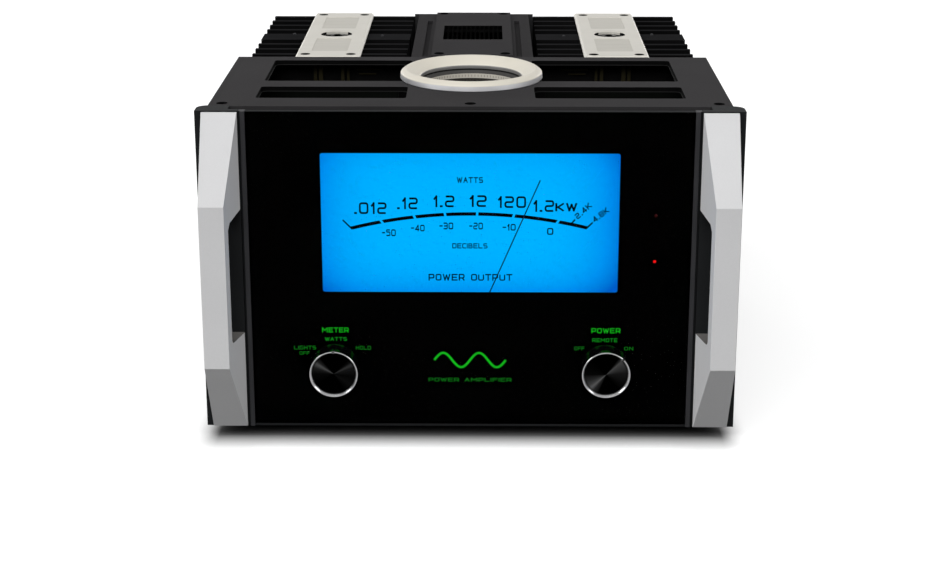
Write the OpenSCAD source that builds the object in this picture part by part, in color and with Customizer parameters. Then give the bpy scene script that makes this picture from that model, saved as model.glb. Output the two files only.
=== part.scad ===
// Monoblock power amplifier: glass front with a large power meter, faceted handles,
// slotted top plate with a round trim ring, finned heat sinks either side of a connector tower.
// Working frame of the modules: X right, Y back from the glass face, Z up from the frame's bottom edge.

/* [Front frame] */
// Overall width of the front frame
panel_w = 444.5; // [420:0.5:480]
// Height of the front frame
panel_h = 273; // [262:1:300]
// Depth of the front frame
frame_t = 20; // [18:0.5:26]
// Plan radius of the frame's outer rear corners
frame_corner_r = 9; // [3:0.5:12]
// Height of the frame rail behind the top and bottom of the glass
rail_h = 15; // [13:0.5:18]
// Length of the dark groove between glass and top plate
groove_w = 392; // [380:1:400]
// Depth of that groove
groove_h = 10; // [8:0.5:11]

/* [Glass] */
// Width of the front glass
glass_w = 363; // [350:1:366]
// Thickness of the front glass
glass_t = 6; // [4:0.5:8]
// Height of the frame lip under the glass
glass_lip = 2; // [1.5:0.5:4]
// Thickness of the black mask behind the glass
mask_t = 0.4; // [0.3:0.1:0.8]
// Width of the metal strip along each side of the glass
strip_w = 5.4; // [4:0.2:6]
// How far the strips stand proud of the glass
strip_proud = 1.2; // [0.4:0.2:3]

/* [Handles] */
// How far a handle stands out from the frame
handle_d = 38; // [32:1:48]
// Width of a handle at its base
handle_w = 28.8; // [26:0.2:29]
// Width of a handle along its front face
grip_w = 20.6; // [16:0.2:22]
// Front to back thickness of the grip bar
grip_t = 8.5; // [8:0.5:15]
// Distance from the frame's side to the handle's outer face
handle_inset = 5.6; // [4:0.2:6]
// Thickness of the handle's edge at its top and bottom ends
handle_edge = 1.6; // [1:0.2:3]
// Height of the upper shoulder of the front face
shoulder_top = 203; // [196:1:210]
// Height of the lower shoulder of the front face
shoulder_low = 65.5; // [56:0.5:75]
// Height of the floor of the finger gap
gap_low = 84; // [80:1:90]
// Height of the finger gap's roof at the frame
gap_top = 191; // [180:1:192]
// How far that roof drops towards the grip bar
gap_slope = 6; // [4:1:22]

/* [Top plate] */
// Width of the top plate
plate_w = 428; // [422:1:438]
// Thickness of the top plate
plate_t = 4.5; // [3:0.5:6]
// Distance from the glass face to the rear wall of the front chassis
chassis_d = 214; // [208:1:240]
// Distance from the glass face to the front edge of the plate's middle
tongue_y = 17; // [14:0.5:17.5]
// Distance from the middle to the inner end of the front slots
slot_in = 53.5; // [46:0.5:60]
// Distance from the middle to the inner end of the rear slots
rear_slot_in = 54; // [53:0.5:80]
// Distance from the middle to the outer end of the slots
slot_out = 178.5; // [150:0.5:186]
// Distance from the glass face to the front slots
slot_y = 47.5; // [44:0.5:56]
// Front to back size of the front slots
slot_d = 43; // [30:0.5:52]
// Distance from the glass face to the rear slots
rear_slot_y = 113.5; // [110:0.5:125]
// Front to back size of the rear slots
rear_slot_d = 87; // [60:1:92]
// Corner radius of the slots
slot_r = 3; // [1:0.5:6]

/* [Trim ring] */
// Distance from the glass face to the middle of the ring
ring_y = 132; // [126:1:140]
// Outer radius of the ring
ring_r = 62; // [56:0.5:64]
// Height of the ring's outer wall
ring_wall = 4.4; // [3:0.2:6]
// Height of the ring's ridge
ring_ridge = 8; // [6.5:0.5:12]
// Radius of the ring's ridge
ridge_r = 56; // [52:0.5:56]
// Inner radius of the ring
ring_bore = 43.8; // [40:0.2:46]
// Radial thickness of the ring's neck in the top plate
neck_t = 2.2; // [1.5:0.1:3]
// Depth of the lens below the top plate's upper face
lens_drop = 10; // [8.5:0.5:14]

/* [Heat sinks] */
// Distance from the glass face to the back of the amplifier's body
body_d = 440; // [420:1:480]
// Distance from the middle to the middle of a heat sink
sink_x = 133; // [131:0.5:138]
// Width of a heat sink over its fins
sink_w = 144; // [136:1:146]
// Drop from the frame's top to the top of the fins
sink_drop = 3; // [2:0.5:6]
// Width of the solid spine that carries the fins
spine_w = 52; // [50:1:56]
// Thickness of a fin
fin_t = 6; // [4:0.5:8]
// Thickness of the wall bolted to the chassis
sink_wall = 8; // [6:0.5:10]
// Radius of the chimney through the spine
chimney_r = 13; // [10:0.5:14]
// Width of a heat sink's cap
cap_w = 59.5; // [58:0.5:66]
// Thickness of a heat sink's cap
cap_t = 3.5; // [3:0.5:6]
// Radius of the hole in a cap
cap_hole_r = 15; // [13:0.5:18]

/* [Connector tower] */
// Width of the tower
tower_w = 112; // [110:1:116]
// Thickness of the tower's top
tower_top = 5; // [4:0.5:7]
// Thickness of the tower's side walls
tower_wall = 2; // [1.5:0.5:3]
// Drop from the frame's top to the top of the tower
tower_drop = 0.5; // [0:0.5:2]
// Width of the lid on the tower
lid_w = 75; // [70:1:78]
// Thickness of the lid
lid_t = 2; // [1.5:0.5:3]
// Width of the channel beside the lid
channel_w = 5; // [4:0.5:7]
// Depth of that channel
channel_d = 3; // [2:0.5:3.5]
// Width of the lid's vent
vent_w = 57; // [46:1:60]
// Front to back size of the lid's vent
vent_d = 71; // [50:1:90]

/* [Meter] */
// Width of the meter's window
meter_w = 244.6; // [220:0.2:250]
// Height of the meter's window
meter_h = 119; // [110:0.5:120]
// Height of the window's lower edge
meter_z = 117.5; // [114:0.5:120]
// Distance from the window's lower edge down to the needle's pivot
pivot_drop = 40; // [38:0.5:42]
// Length of the needle from its pivot to its tip
needle_l = 147; // [120:1:150]
// Angle of the needle at rest, to the right of upright
needle_rest = 23; // [-40:1:40]
// Distance from the glass face to the dial
dial_y = 14; // [13.5:0.5:17]
// Thickness of the dial
dial_t = 2; // [1:0.5:3]
// Distance from the glass face to the back of the meter's light box
box_d = 46; // [44:1:52]

/* [Knobs] */
// Distance of a knob's axis from the middle
knob_x = 112.8; // [100:0.2:118]
// Height of a knob's axis
knob_z = 54; // [48:0.5:58]
// Radius of a knob
knob_r = 20; // [16:0.5:22]
// Length of a knob
knob_d = 18.8; // [16:0.2:26]
// Gap between knob and glass
knob_gap = 1.2; // [0.8:0.1:3]
// Radius of a switch shaft
shaft_r = 3; // [2.5:0.25:4]
// Angle of the power knob's pointer, to the right of upright
power_rest = 45; // [0:5:60]

/* [Rear connectors] */
// How far the speaker terminals stand out behind the body
rear_reach = 32; // [28:1:40]
// Distance between the two columns of speaker terminals
post_gap = 48; // [44:1:56]
// Distance between the rows of speaker terminals
post_row = 34; // [28:1:36]
// Height of the middle row of speaker terminals
post_z = 142; // [138:1:146]
// Radius of a speaker terminal's nut
nut_r = 9.5; // [8:0.5:11]
// Radius of a speaker terminal's stud
stud_r = 3.5; // [3:0.25:4]
// Height of the signal connectors' middle
signal_z = 219; // [217:1:224]
// Height of the mains inlet's middle
inlet_z = 40; // [36:1:48]

/* [Feet and sheet metal] */
// Height of the feet
foot_h = 10; // [9:1:20]
// Radius of a foot
foot_r = 18; // [15:0.5:22]
// Thickness of the base tray
tray_t = 3; // [2:0.5:5]
// Thickness of the side panels and inner wall
sheet_t = 2.5; // [1.5:0.5:3]
// Radius of the long bolts' shanks
bolt_r = 3; // [2.5:0.25:4]
// Radius of the cover screws' heads
screw_head_r = 4.5; // [4:0.1:4.7]

/* [Inside] */
// Outer radius of the power transformer
toroid_r = 75; // [60:1:80]
// Height of the power transformer
toroid_h = 75; // [50:1:90]
// Radius of a filter capacitor
can_r = 33; // [25:1:36]
// Height of a filter capacitor
can_h = 110; // [70:1:130]

/* [Hidden] */
$fn = 64;
// Clearances: bonded or slotted pieces, turning shafts, ends of moving pieces, screws in their holes
fit = 0.2;
run = 0.05;
gap = 0.3;
screw_clear = 0.15;
over = 1;
// Depth stations behind the glass face
mask_y0 = glass_t + fit;
mask_y1 = mask_y0 + mask_t;
board_t = 1.6;
wall_y1 = chassis_d + sheet_t;
rear_t = 3;
rear_y0 = body_d - rear_t;
// Heights above the frame's bottom edge
plate_z = panel_h - plate_t;
sink_top = panel_h - sink_drop;
tower_z = panel_h - tower_drop;
pivot_z = meter_z - pivot_drop;
// Widths from the middle
glass_x = glass_w / 2;
strip_x1 = glass_x + fit + strip_w;
handle_x1 = panel_w / 2 - handle_inset;
handle_x0 = handle_x1 - handle_w;
open_x = glass_x - 13.5;
tower_x = tower_w / 2;
// Room between the tower and the fins of a heat sink
sink_gap = 5;
sink_x0 = tower_x + sink_gap;
sink_x1 = sink_x0 + sink_w;
side_x1 = plate_w / 2 - over;
side_x0 = side_x1 - sheet_t;
flange_w = 20;
// Place of the modules' frame in the part: middle of the depth, feet on the ground
total_d = handle_d + body_d + rear_reach;
shift = [0, handle_d - total_d / 2, foot_h];
// Long bolts
bolt_l = frame_t + 10;
bolt_head_r = 5;
bolt_head_h = 4;
handle_bolt_z = [shoulder_low - 26, shoulder_top + 22];
foot_spots = [[panel_w / 2 - 37, 48], [sink_x, body_d - 36]];
// Cover screws
screw_r = 2.4;
screw_l = 9;
screw_head_h = 2.4;
socket_r = 1.7;
screw_pocket = screw_head_h + 0.2;
plate_screw_y = frame_t + 8;
plate_screw_x = side_x1 - 9.5;
tab_w = 24;
cap_screw_dx = 21;
cap_screw_inset = 11;
cap_y0 = wall_y1 + fit;
cap_screw_y = [cap_y0 + cap_screw_inset, body_d - cap_screw_inset];
lid_screw_dx = lid_w / 2 - 7;
channel_x = lid_w / 2 + 3.5;
lid_y0 = wall_y1 + 2;
lid_y1 = body_d - rear_t;
lid_screw_y = [lid_y0 + 7, lid_y1 - 7];
// Heat sink fins: thin ones at an even pitch, a wide one at the middle
fin_n = 10;
sink_y0 = wall_y1;
fin_y0 = sink_y0 + sink_wall / 2;
fin_y1 = body_d - fin_t / 2;
fin_pitch = (fin_y1 - fin_y0) / (fin_n - 1);
wide_fin = [4, 5];
chimney_y = (cap_y0 + body_d) / 2;
// Meter light box
box_wall = 2;
box_side = 8;
box_x = meter_w / 2 + box_side;
box_z0 = meter_z - 12;
box_z1 = meter_z + meter_h + 9;
ledge = 3;
// Meter movement, all about the pivot line
magnet_y = [dial_y + 3, dial_y + 23];
yoke_r = [15.5, 21];
core_r = 9.5;
staff_r = 0.9;
needle_y = [dial_y - 4.2, dial_y - 2.8];
strap_y = [mask_y1 + 0.6, mask_y1 + 2.2];
pillar_x = (yoke_r[0] + yoke_r[1]) / 2;
coil_y = [magnet_y[0] - 2, magnet_y[1] + 2];
bearing_y = box_d - box_wall - 3.5;
// Knobs and switches
rim_t = 2.4;
rim_d = 2.6;
face_drop = 0.6;
switch_y1 = frame_t + board_t + 16;
switch_r = 13;
bushing_r = shaft_r + 1.5;
led_x = 152.5;
led_z = [144.5, 184];
led_r = 1.3;
// Rear connectors
collar_r = nut_r;
collar_h = 6;
post_seat = collar_h + gap;
signal_x = 27;

// Shared shapes

// Pair of values either side of a middle one.
function around(mid, half) = [mid - half, mid + half];

// Moves a piece from the modules' frame to its place in the part.
module placed() translate(shift) children();

// Box between two values on each axis.
module span(x, y, z)
    translate([x[0], y[0], z[0]]) cube([x[1] - x[0], y[1] - y[0], z[1] - z[0]]);

// Round bar along Y between two depths, at x and z.
module rod(r, y, x = 0, z = 0)
    translate([x, y[0], z]) rotate([-90, 0, 0]) cylinder(r = r, h = y[1] - y[0]);

// The children and their mirror image on the other side.
module both_sides() {
    children();
    mirror([1, 0, 0]) children();
}

// Flat rectangle with round corners, centred.
module round_rect(size, r) {
    square([size[0] - 2 * r, size[1]], center = true);
    square([size[0], size[1] - 2 * r], center = true);
    for (x = [-1, 1], y = [-1, 1])
        translate([x * (size[0] / 2 - r), y * (size[1] / 2 - r)]) circle(r);
}

// Upright block with round vertical edges between two values on each axis.
module round_block(x, y, z, r)
    translate([(x[0] + x[1]) / 2, (y[0] + y[1]) / 2, z[0]])
        linear_extrude(z[1] - z[0]) round_rect([x[1] - x[0], y[1] - y[0]], r);

// Block with round edges along Y between two values on each axis.
module round_plate(x, y, z, r)
    translate([(x[0] + x[1]) / 2, y[1], (z[0] + z[1]) / 2]) rotate([90, 0, 0])
        linear_extrude(y[1] - y[0]) round_rect([x[1] - x[0], z[1] - z[0]], r);

// Button screw pointing down, with its head's underside at the origin.
module button_screw() {
    difference() {
        cylinder(r = screw_head_r, h = screw_head_h);
        translate([0, 0, screw_head_h - 1.4]) cylinder(r = socket_r, h = 1.4 + over, $fn = 6);
    }
    translate([0, 0, -screw_l]) cylinder(r = screw_r, h = screw_l);
}

// Hole for a button screw through a cover whose top is at the origin.
module screw_hole(cover_t)
    translate([0, 0, -cover_t - over]) cylinder(r = screw_r + screw_clear, h = cover_t + 2 * over);

// The same hole with a pocket that takes the screw's head.
module screw_seat(cover_t) {
    screw_hole(cover_t);
    translate([0, 0, -screw_pocket]) cylinder(r = screw_head_r + screw_clear, h = screw_pocket + over);
}

// Tapped hole for a button screw below a seat at the origin.
module screw_tap(depth)
    translate([0, 0, -depth]) cylinder(r = screw_r + run, h = depth + over);

// Spots of the cover screws: on the top plate, on the lid and on the right cap.
plate_screws = [[-plate_screw_x, plate_screw_y], [0, plate_screw_y], [plate_screw_x, plate_screw_y]];
lid_screws = [for (x = [-lid_screw_dx, lid_screw_dx], y = lid_screw_y) [x, y]];
cap_screws = [for (x = [-cap_screw_dx, cap_screw_dx], y = cap_screw_y) [sink_x + x, y]];
// Spots of the speaker terminals, and of the handle bolts on the right side
posts = [for (row = [1, 0, -1], side = [-1, 1]) [side * post_gap / 2, post_z + row * post_row]];
handle_bolts = [for (z = handle_bolt_z) [handle_x1 - handle_w / 2, z]];

// Chassis

module base_tray() color("#1c1c1e") difference() {
    union() {
        span([-side_x1, side_x1], [frame_t, wall_y1], [0, tray_t]);
        span([-sink_x1, sink_x1], [wall_y1 - over, body_d], [0, tray_t]);
    }
    for (spot = foot_spots) both_sides()
        translate([spot[0], spot[1], -over])
            cylinder(r = bolt_r + screw_clear, h = tray_t + 2 * over);
}

module frame_outline() {
    inner_w = panel_w - 2 * frame_corner_r;
    translate([-panel_w / 2, 0]) square([panel_w, frame_t - frame_corner_r]);
    translate([-inner_w / 2, 0]) square([inner_w, frame_t]);
    for (side = [-1, 1])
        translate([side * inner_w / 2, frame_t - frame_corner_r]) circle(frame_corner_r);
}

module front_frame() color("#202124") {
    difference() {
        linear_extrude(panel_h) frame_outline();
        span([-glass_x - fit, glass_x + fit], [-over, mask_y1], [glass_lip, panel_h + over]);
        both_sides() span([glass_x, strip_x1 + fit], [-over, mask_y1], [-over, panel_h + over]);
        span([-open_x, open_x], [-over, frame_t + over], [rail_h, panel_h - rail_h]);
        span([-groove_w / 2, groove_w / 2], [mask_y1, frame_t + over],
            [panel_h - groove_h, panel_h + over]);
        both_sides() for (spot = handle_bolts)
            rod(bolt_r + screw_clear, [-over, frame_t + over], spot[0], spot[1]);
    }
    difference() {
        span([-tab_w / 2, tab_w / 2], [frame_t, plate_screw_y + tab_w / 3],
            [panel_h - rail_h, plate_z]);
        translate([0, plate_screw_y, plate_z]) screw_tap(rail_h);
    }
}

module front_glass() color("#0a0a0c") difference() {
    span([-glass_x, glass_x], [0, glass_t], [glass_lip, panel_h - fit]);
    both_sides() rod(bushing_r, [-over, glass_t + over], knob_x, knob_z);
}

module glass_mask() color("#050506") difference() {
    span([-glass_x, glass_x], [mask_y0, mask_y1], [glass_lip, panel_h - fit]);
    round_plate([-meter_w / 2, meter_w / 2], [mask_y0 - over, mask_y1 + over],
        [meter_z, meter_z + meter_h], 2);
    both_sides() rod(bushing_r, [mask_y0 - over, mask_y1 + over], knob_x, knob_z);
    for (z = led_z) rod(led_r + run, [mask_y0 - over, mask_y1 + over], led_x, z);
}

module glass_strips() color("#3c3d40") both_sides()
    span([glass_x + fit, strip_x1], [-strip_proud, mask_y1], [0, panel_h - fit]);

// Handles

// Side outline of a handle: base on the frame at 0, grip face at -handle_d.
handle_side = [[0, fit], [0, panel_h - over], [-handle_edge, panel_h - over],
    [-handle_d, shoulder_top], [-handle_d, shoulder_low], [-handle_edge, fit]];

// Side outline of the finger gap: flat floor, roof that drops towards the grip bar.
module finger_gap_outline() {
    corner_r = 4;
    bar_y = grip_t - handle_d;
    offset_y = bar_y + corner_r;
    polygon([[over, gap_low], [offset_y, gap_low], [bar_y, gap_low + corner_r],
        [bar_y, gap_top - gap_slope - corner_r], [offset_y, gap_top - gap_slope + corner_r / 3],
        [over, gap_top]]);
    translate([offset_y, gap_low + corner_r]) circle(corner_r);
}

// Outline drawn in depth and height, made solid between two values across.
module across(x)
    translate([x[0], 0, 0]) rotate([90, 0, 90]) linear_extrude(x[1] - x[0]) children();

module handle() difference() {
    across([handle_x0, handle_x1]) polygon(handle_side);
    // Slanted inner face, from the full base width to the width of the grip
    taper = handle_w - grip_w;
    linear_extrude(panel_h)
        polygon([[handle_x0, -handle_edge], [handle_x0 + taper, -handle_d],
            [handle_x0 + taper, -handle_d - over], [handle_x0 - over, -handle_d - over],
            [handle_x0 - over, -handle_edge]]);
    across([handle_x0 - over, handle_x1 + over]) finger_gap_outline();
    // Relief over the strip, where a narrow frame brings the handle in front of it
    span([0, strip_x1 + gap], [-strip_proud - gap, over], [-over, panel_h + over]);
    for (spot = handle_bolts) rod(bolt_r + run, [frame_t - bolt_l - run, over], spot[0], spot[1]);
}

module left_handle() color("#cfcfcf") mirror([1, 0, 0]) handle();
module right_handle() color("#cfcfcf") handle();

// Bolt along Y from behind the frame, with its head's underside at frame_t.
module chassis_bolts() color("#2a2a2c") both_sides() {
    for (spot = handle_bolts) {
        rod(bolt_r, [frame_t - bolt_l, frame_t], spot[0], spot[1]);
        rod(bolt_head_r, [frame_t, frame_t + bolt_head_h], spot[0], spot[1]);
    }
    for (spot = foot_spots) translate([spot[0], spot[1], -foot_pad]) {
        cylinder(r = bolt_r, h = bolt_l);
        translate([0, 0, -bolt_head_h]) cylinder(r = bolt_head_r, h = bolt_head_h);
    }
}

// Top plate and its ring

module slot(x, y)
    round_block(x, y, [plate_z - over, panel_h + over], slot_r);

module top_plate() color("#38383a") difference() {
    union() {
        span([-plate_w / 2, plate_w / 2], [frame_t, wall_y1], [plate_z, panel_h]);
        span([fit - groove_w / 2, groove_w / 2 - fit], [tongue_y, frame_t + over], [plate_z, panel_h]);
    }
    both_sides() {
        slot([slot_in, slot_out], [slot_y, slot_y + slot_d]);
        slot([rear_slot_in, slot_out], [rear_slot_y, rear_slot_y + rear_slot_d]);
    }
    translate([0, ring_y, plate_z - over])
        cylinder(r = ring_bore + neck_t + fit, h = plate_t + 2 * over);
    for (spot = plate_screws) translate([spot[0], spot[1], panel_h]) screw_seat(plate_t);
}

module cover_screws() color("#101012") {
    for (spot = plate_screws)
        translate([spot[0], spot[1], panel_h - screw_pocket]) button_screw();
    for (spot = lid_screws)
        translate([spot[0], spot[1], tower_z + lid_t]) button_screw();
    both_sides() for (spot = cap_screws)
        translate([spot[0], spot[1], sink_top + cap_t - screw_pocket]) button_screw();
}

module top_ring() color("#d8d4cb") translate([0, ring_y, panel_h]) rotate_extrude()
    polygon([[ring_bore, -plate_t], [ring_bore + neck_t, -plate_t], [ring_bore + neck_t, 0],
        [ring_r, 0], [ring_r, ring_wall - 0.8], [ring_r - 0.8, ring_wall],
        [ridge_r + 1, ring_ridge - 0.4], [ridge_r, ring_ridge], [ridge_r - 1, ring_ridge - 0.4],
        [ring_bore + 0.6, 1.1], [ring_bore, 0.5]]);

// Sleeve under the plate: a flange that clamps the ring and a bevelled throat for the lens.
sleeve_r = ring_bore - 0.4;
throat_r = sleeve_r - 2.4;
module ring_sleeve() color("#b9b9b9") translate([0, ring_y, panel_h]) rotate_extrude()
    polygon([[throat_r, -lens_drop - 2], [sleeve_r + 8, -lens_drop - 2], [sleeve_r + 8, -plate_t],
        [sleeve_r, -plate_t], [sleeve_r, -3.2], [throat_r, -5.8]]);

module ring_lens() color("#08080a") translate([0, ring_y, panel_h - lens_drop - 2])
    cylinder(r = throat_r - run, h = 2);

// Side panel: upright sheet with a flange turned inwards at its top and bottom.
module side_panel() difference() {
    union() {
        span([side_x0, side_x1], [frame_t, chassis_d], [tray_t, plate_z]);
        for (z = [tray_t, plate_z - sheet_t])
            span([side_x1 - flange_w, side_x1], [frame_t, chassis_d], [z, z + sheet_t]);
    }
    translate([plate_screw_x, plate_screw_y, plate_z]) screw_tap(2 * sheet_t);
    translate([foot_spots[0][0], foot_spots[0][1], 0])
        cylinder(r = bolt_r + screw_clear, h = tray_t + sheet_t + over);
}

module left_side_panel() color("#1c1c1e") mirror([1, 0, 0]) side_panel();
module right_side_panel() color("#1c1c1e") side_panel();

// Inner wall between the front chassis and the heat sinks, with windows for the transistors.
window_w = 106;
window_h = 110;
window_drop = 33;
window_x = around(sink_x, window_w / 2);
window_z = [panel_h - window_drop - window_h, panel_h - window_drop];
module inner_wall() color("#252527") difference() {
    span([-side_x1, side_x1], [chassis_d, wall_y1], [tray_t, plate_z]);
    span([8 - tower_x, tower_x - 8], [chassis_d - over, wall_y1 + over], [20, plate_z - 20]);
    both_sides() span(window_x, [chassis_d - over, wall_y1 + over], window_z);
    for (spot = board_pillars) both_sides()
        rod(pillar_screw_r, [chassis_d - over, wall_y1 + over], spot[0], spot[1]);
}

// Connector tower

module tower_shell() color("#37373a") difference() {
    span([-tower_x, tower_x], [wall_y1, rear_y0], [tray_t, tower_z]);
    span([tower_wall - tower_x, tower_x - tower_wall], [wall_y1 - over, rear_y0 + over],
        [tray_t - over, tower_z - tower_top]);
    both_sides() span([channel_x, channel_x + channel_w], [lid_y0 + 4, body_d - 40],
        [tower_z - channel_d, tower_z + over]);
    vent_opening(tower_z - tower_top - over, tower_z + over, 4);
    for (spot = lid_screws) translate([spot[0], spot[1], tower_z]) screw_tap(tower_top + over);
}

// Opening for the vent, widened by a margin, between two heights.
module vent_opening(z0, z1, margin)
    span([-vent_w / 2 - margin, vent_w / 2 + margin],
        [chimney_y - vent_d / 2 - margin, chimney_y + vent_d / 2 + margin], [z0, z1]);

module tower_lid() color("#3b3a3d") {
    bars = 12;
    bar_w = 1.6;
    difference() {
        span([-lid_w / 2, lid_w / 2], [lid_y0, lid_y1], [tower_z, tower_z + lid_t]);
        vent_opening(tower_z - over, tower_z + lid_t + over, 0);
        for (spot = lid_screws) translate([spot[0], spot[1], tower_z + lid_t]) screw_hole(lid_t);
    }
    // Grid of bars a little below the lid's face
    for (i = [1 : bars]) {
        x = -vent_w / 2 + i * vent_w / (bars + 1);
        span([x - bar_w / 2, x + bar_w / 2],
            [chimney_y - vent_d / 2 - bar_w, chimney_y + vent_d / 2 + bar_w],
            [tower_z, tower_z + lid_t / 2]);
    }
}

module rear_panel() color("#1a1a1c") difference() {
    span([gap - sink_x0, sink_x0 - gap], [rear_y0, body_d], [tray_t, tower_z]);
    for (spot = posts) panel_hole(stud_r + 1.5, spot);
    panel_hole(input_r, [-signal_x, signal_z]);
    translate([-signal_x, 0, signal_z])
        span(around(0, latch_w / 2 + gap), [rear_y0 - over, body_d + over], latch_z + [-gap, gap]);
    for (spot = jacks) panel_hole(spot[2], spot);
    panel_hole(fuse_r, [fuse_x, fuse_z]);
    round_plate(inlet_x + [-fit, fit], [rear_y0 - over, body_d + over],
        around(inlet_z, inlet_h / 2 + fit), 2);
    span(around(selector_x, selector_w / 2 + fit), [rear_y0 - over, body_d + over],
        around(selector_z, selector_h / 2 + fit));
}

// Round hole through the rear panel at [x, z], with room round what goes in.
module panel_hole(r, spot)
    rod(r + fit, [rear_y0 - over, body_d + over], spot[0], spot[1]);

// Heat sinks

module heat_sink() difference() {
    union() {
        span([sink_x - spine_w / 2, sink_x + spine_w / 2], [sink_y0, body_d], [tray_t, sink_top]);
        for (i = [0 : fin_n - 1]) {
            t = i == 0 ? sink_wall : fin_t;
            y = fin_y0 + i * fin_pitch;
            span([sink_x0, sink_x1], [y - t / 2, y + t / 2], [tray_t, sink_top]);
        }
        span([sink_x0, sink_x1],
            [fin_y0 + wide_fin[0] * fin_pitch, fin_y0 + wide_fin[1] * fin_pitch], [tray_t, sink_top]);
    }
    translate([sink_x, chimney_y, tray_t - over]) {
        cylinder(r = chimney_r, h = panel_h);
        for (a = [0 : 45 : 315]) rotate(a)
            translate([chimney_r, 0, 0]) cylinder(r = 3.6, h = panel_h);
    }
    for (spot = cap_screws) translate([spot[0], spot[1], sink_top]) screw_tap(screw_l);
    translate([foot_spots[1][0], foot_spots[1][1], 0]) cylinder(r = bolt_r + run, h = bolt_l);
}

module left_heat_sink() color("#141416") mirror([1, 0, 0]) heat_sink();
module right_heat_sink() color("#141416") heat_sink();

module sink_cap() {
    pocket_w = cap_w - 26;
    pocket_d = 62;
    pocket_y = [chimney_y - cap_hole_r - 10 - pocket_d, chimney_y + cap_hole_r + 10];
    difference() {
        round_block([sink_x - cap_w / 2, sink_x + cap_w / 2], [cap_y0, body_d],
            [sink_top, sink_top + cap_t], 2);
        translate([sink_x, chimney_y, sink_top]) {
            translate([0, 0, -over]) cylinder(r = cap_hole_r, h = cap_t + 2 * over);
            translate([0, 0, cap_t - 1]) cylinder(r1 = cap_hole_r, r2 = cap_hole_r + 2, h = 1 + run);
        }
        for (y = pocket_y)
            round_block([sink_x - pocket_w / 2, sink_x + pocket_w / 2], [y, y + pocket_d],
                [sink_top + cap_t - 0.4, sink_top + cap_t + over], 2);
        for (spot = cap_screws) translate([spot[0], spot[1], sink_top + cap_t]) screw_seat(cap_t);
    }
}

module left_sink_cap() color("#c3c0b9") mirror([1, 0, 0]) sink_cap();
module right_sink_cap() color("#c3c0b9") sink_cap();

// Feet

foot_pad = 5;
module feet() color("#0e0e0f") for (spot = foot_spots) both_sides()
    translate([spot[0], spot[1], -foot_h]) difference() {
        cylinder(r1 = foot_r - 1.5, r2 = foot_r, h = foot_h);
        translate([0, 0, -over]) cylinder(r = bolt_r + screw_clear, h = foot_h + 2 * over);
        translate([0, 0, -over]) cylinder(r = bolt_head_r + 0.5, h = foot_h - foot_pad + over);
    }

// Meter

module meter_box() color("#dfe6ea") {
    tongue_z = pivot_z - 27;
    difference() {
        union() {
            span([-box_x, box_x], [mask_y1 + fit, box_d], [box_z0, box_z1]);
            span([-30, 30], [box_d - box_wall, box_d], [tongue_z, box_z0 + over]);
            both_sides() span([25, 60], [frame_t, frame_t + 3], [box_z1 - over, panel_h - groove_h]);
            rod(4, [bearing_y, box_d - over], 0, pivot_z);
        }
        span([box_wall - box_x, box_x - box_wall], [0, dial_y + dial_t + fit],
            [box_z0 + box_wall, box_z1 - box_wall]);
        span([box_wall + ledge - box_x, box_x - box_wall - ledge], [0, box_d - box_wall],
            [box_z0 + box_wall + ledge, box_z1 - box_wall - ledge]);
        // Way for the needle in front of the dial
        span([-meter_w / 2, meter_w / 2], [0, dial_y - fit], [box_z0 - over, box_z0 + box_wall + over]);
        rod(staff_r + run, [bearing_y - over, bearing_y + 2], 0, pivot_z);
    }
}

module meter_dial() color("#00a8ff")
    span([box_wall + fit - box_x, box_x - box_wall - fit], [dial_y, dial_y + dial_t],
        [box_z0 + box_wall + fit, box_z1 - box_wall - fit]);

// Magnet: round yoke and core joined above and below, on two pillars from the light box.
module meter_magnet() color("#6d6f73") translate([0, 0, pivot_z]) {
    difference() {
        rod(yoke_r[1], magnet_y);
        rod(yoke_r[0], magnet_y + [-over, over]);
    }
    rod(core_r, magnet_y);
    for (side = [-1, 1])
        span([-4, 4], magnet_y, side > 0 ? [core_r - over, yoke_r[0] + over]
            : [-yoke_r[0] - over, over - core_r]);
    both_sides() rod(2.5, [magnet_y[1], box_d - box_wall], pillar_x);
}

module meter_bridge() color("#b08d3c") translate([0, 0, pivot_z]) {
    difference() {
        span([-yoke_r[1], yoke_r[1]], strap_y, [-3, 3]);
        rod(staff_r + run, strap_y + [-over, over]);
    }
    both_sides() rod(2.4, [strap_y[1], magnet_y[0]], pillar_x);
}

// Turns a piece about the pivot line to the needle's angle at rest.
module at_needle() translate([0, 0, pivot_z]) rotate([0, needle_rest, 0]) children();

module meter_needle() color("#101014") at_needle() difference() {
    union() {
        rod(4.2, needle_y);
        span([-0.45, 0.45], [needle_y[0] + 0.4, needle_y[0] + 1], [0, needle_l]);
        span([-1.6, 1.6], [needle_y[0] + 0.2, needle_y[0] + 1.2], [-16, 0]);
    }
    rod(staff_r, needle_y + [-over, over]);
}

module meter_coil() color("#9c5a2b") at_needle() {
    coil_x = (core_r + yoke_r[0]) / 2;
    wire = 2.4;
    difference() {
        span([-coil_x - wire / 2, coil_x + wire / 2], coil_y, [-2, 2]);
        span([wire / 2 - coil_x, coil_x - wire / 2], [magnet_y[0] - 0.5, magnet_y[1] + 0.5], [-3, 3]);
    }
    rod(staff_r, [strap_y[0], coil_y[0]]);
    rod(staff_r, [coil_y[1], bearing_y + 2 - gap]);
}

// Knobs and switches

// Draws the children on the left (meter) or right (power) knob's axis, turned about it.
module on_axis(side, turn) translate([side * knob_x, 0, knob_z]) rotate([0, turn, 0]) children();

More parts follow.
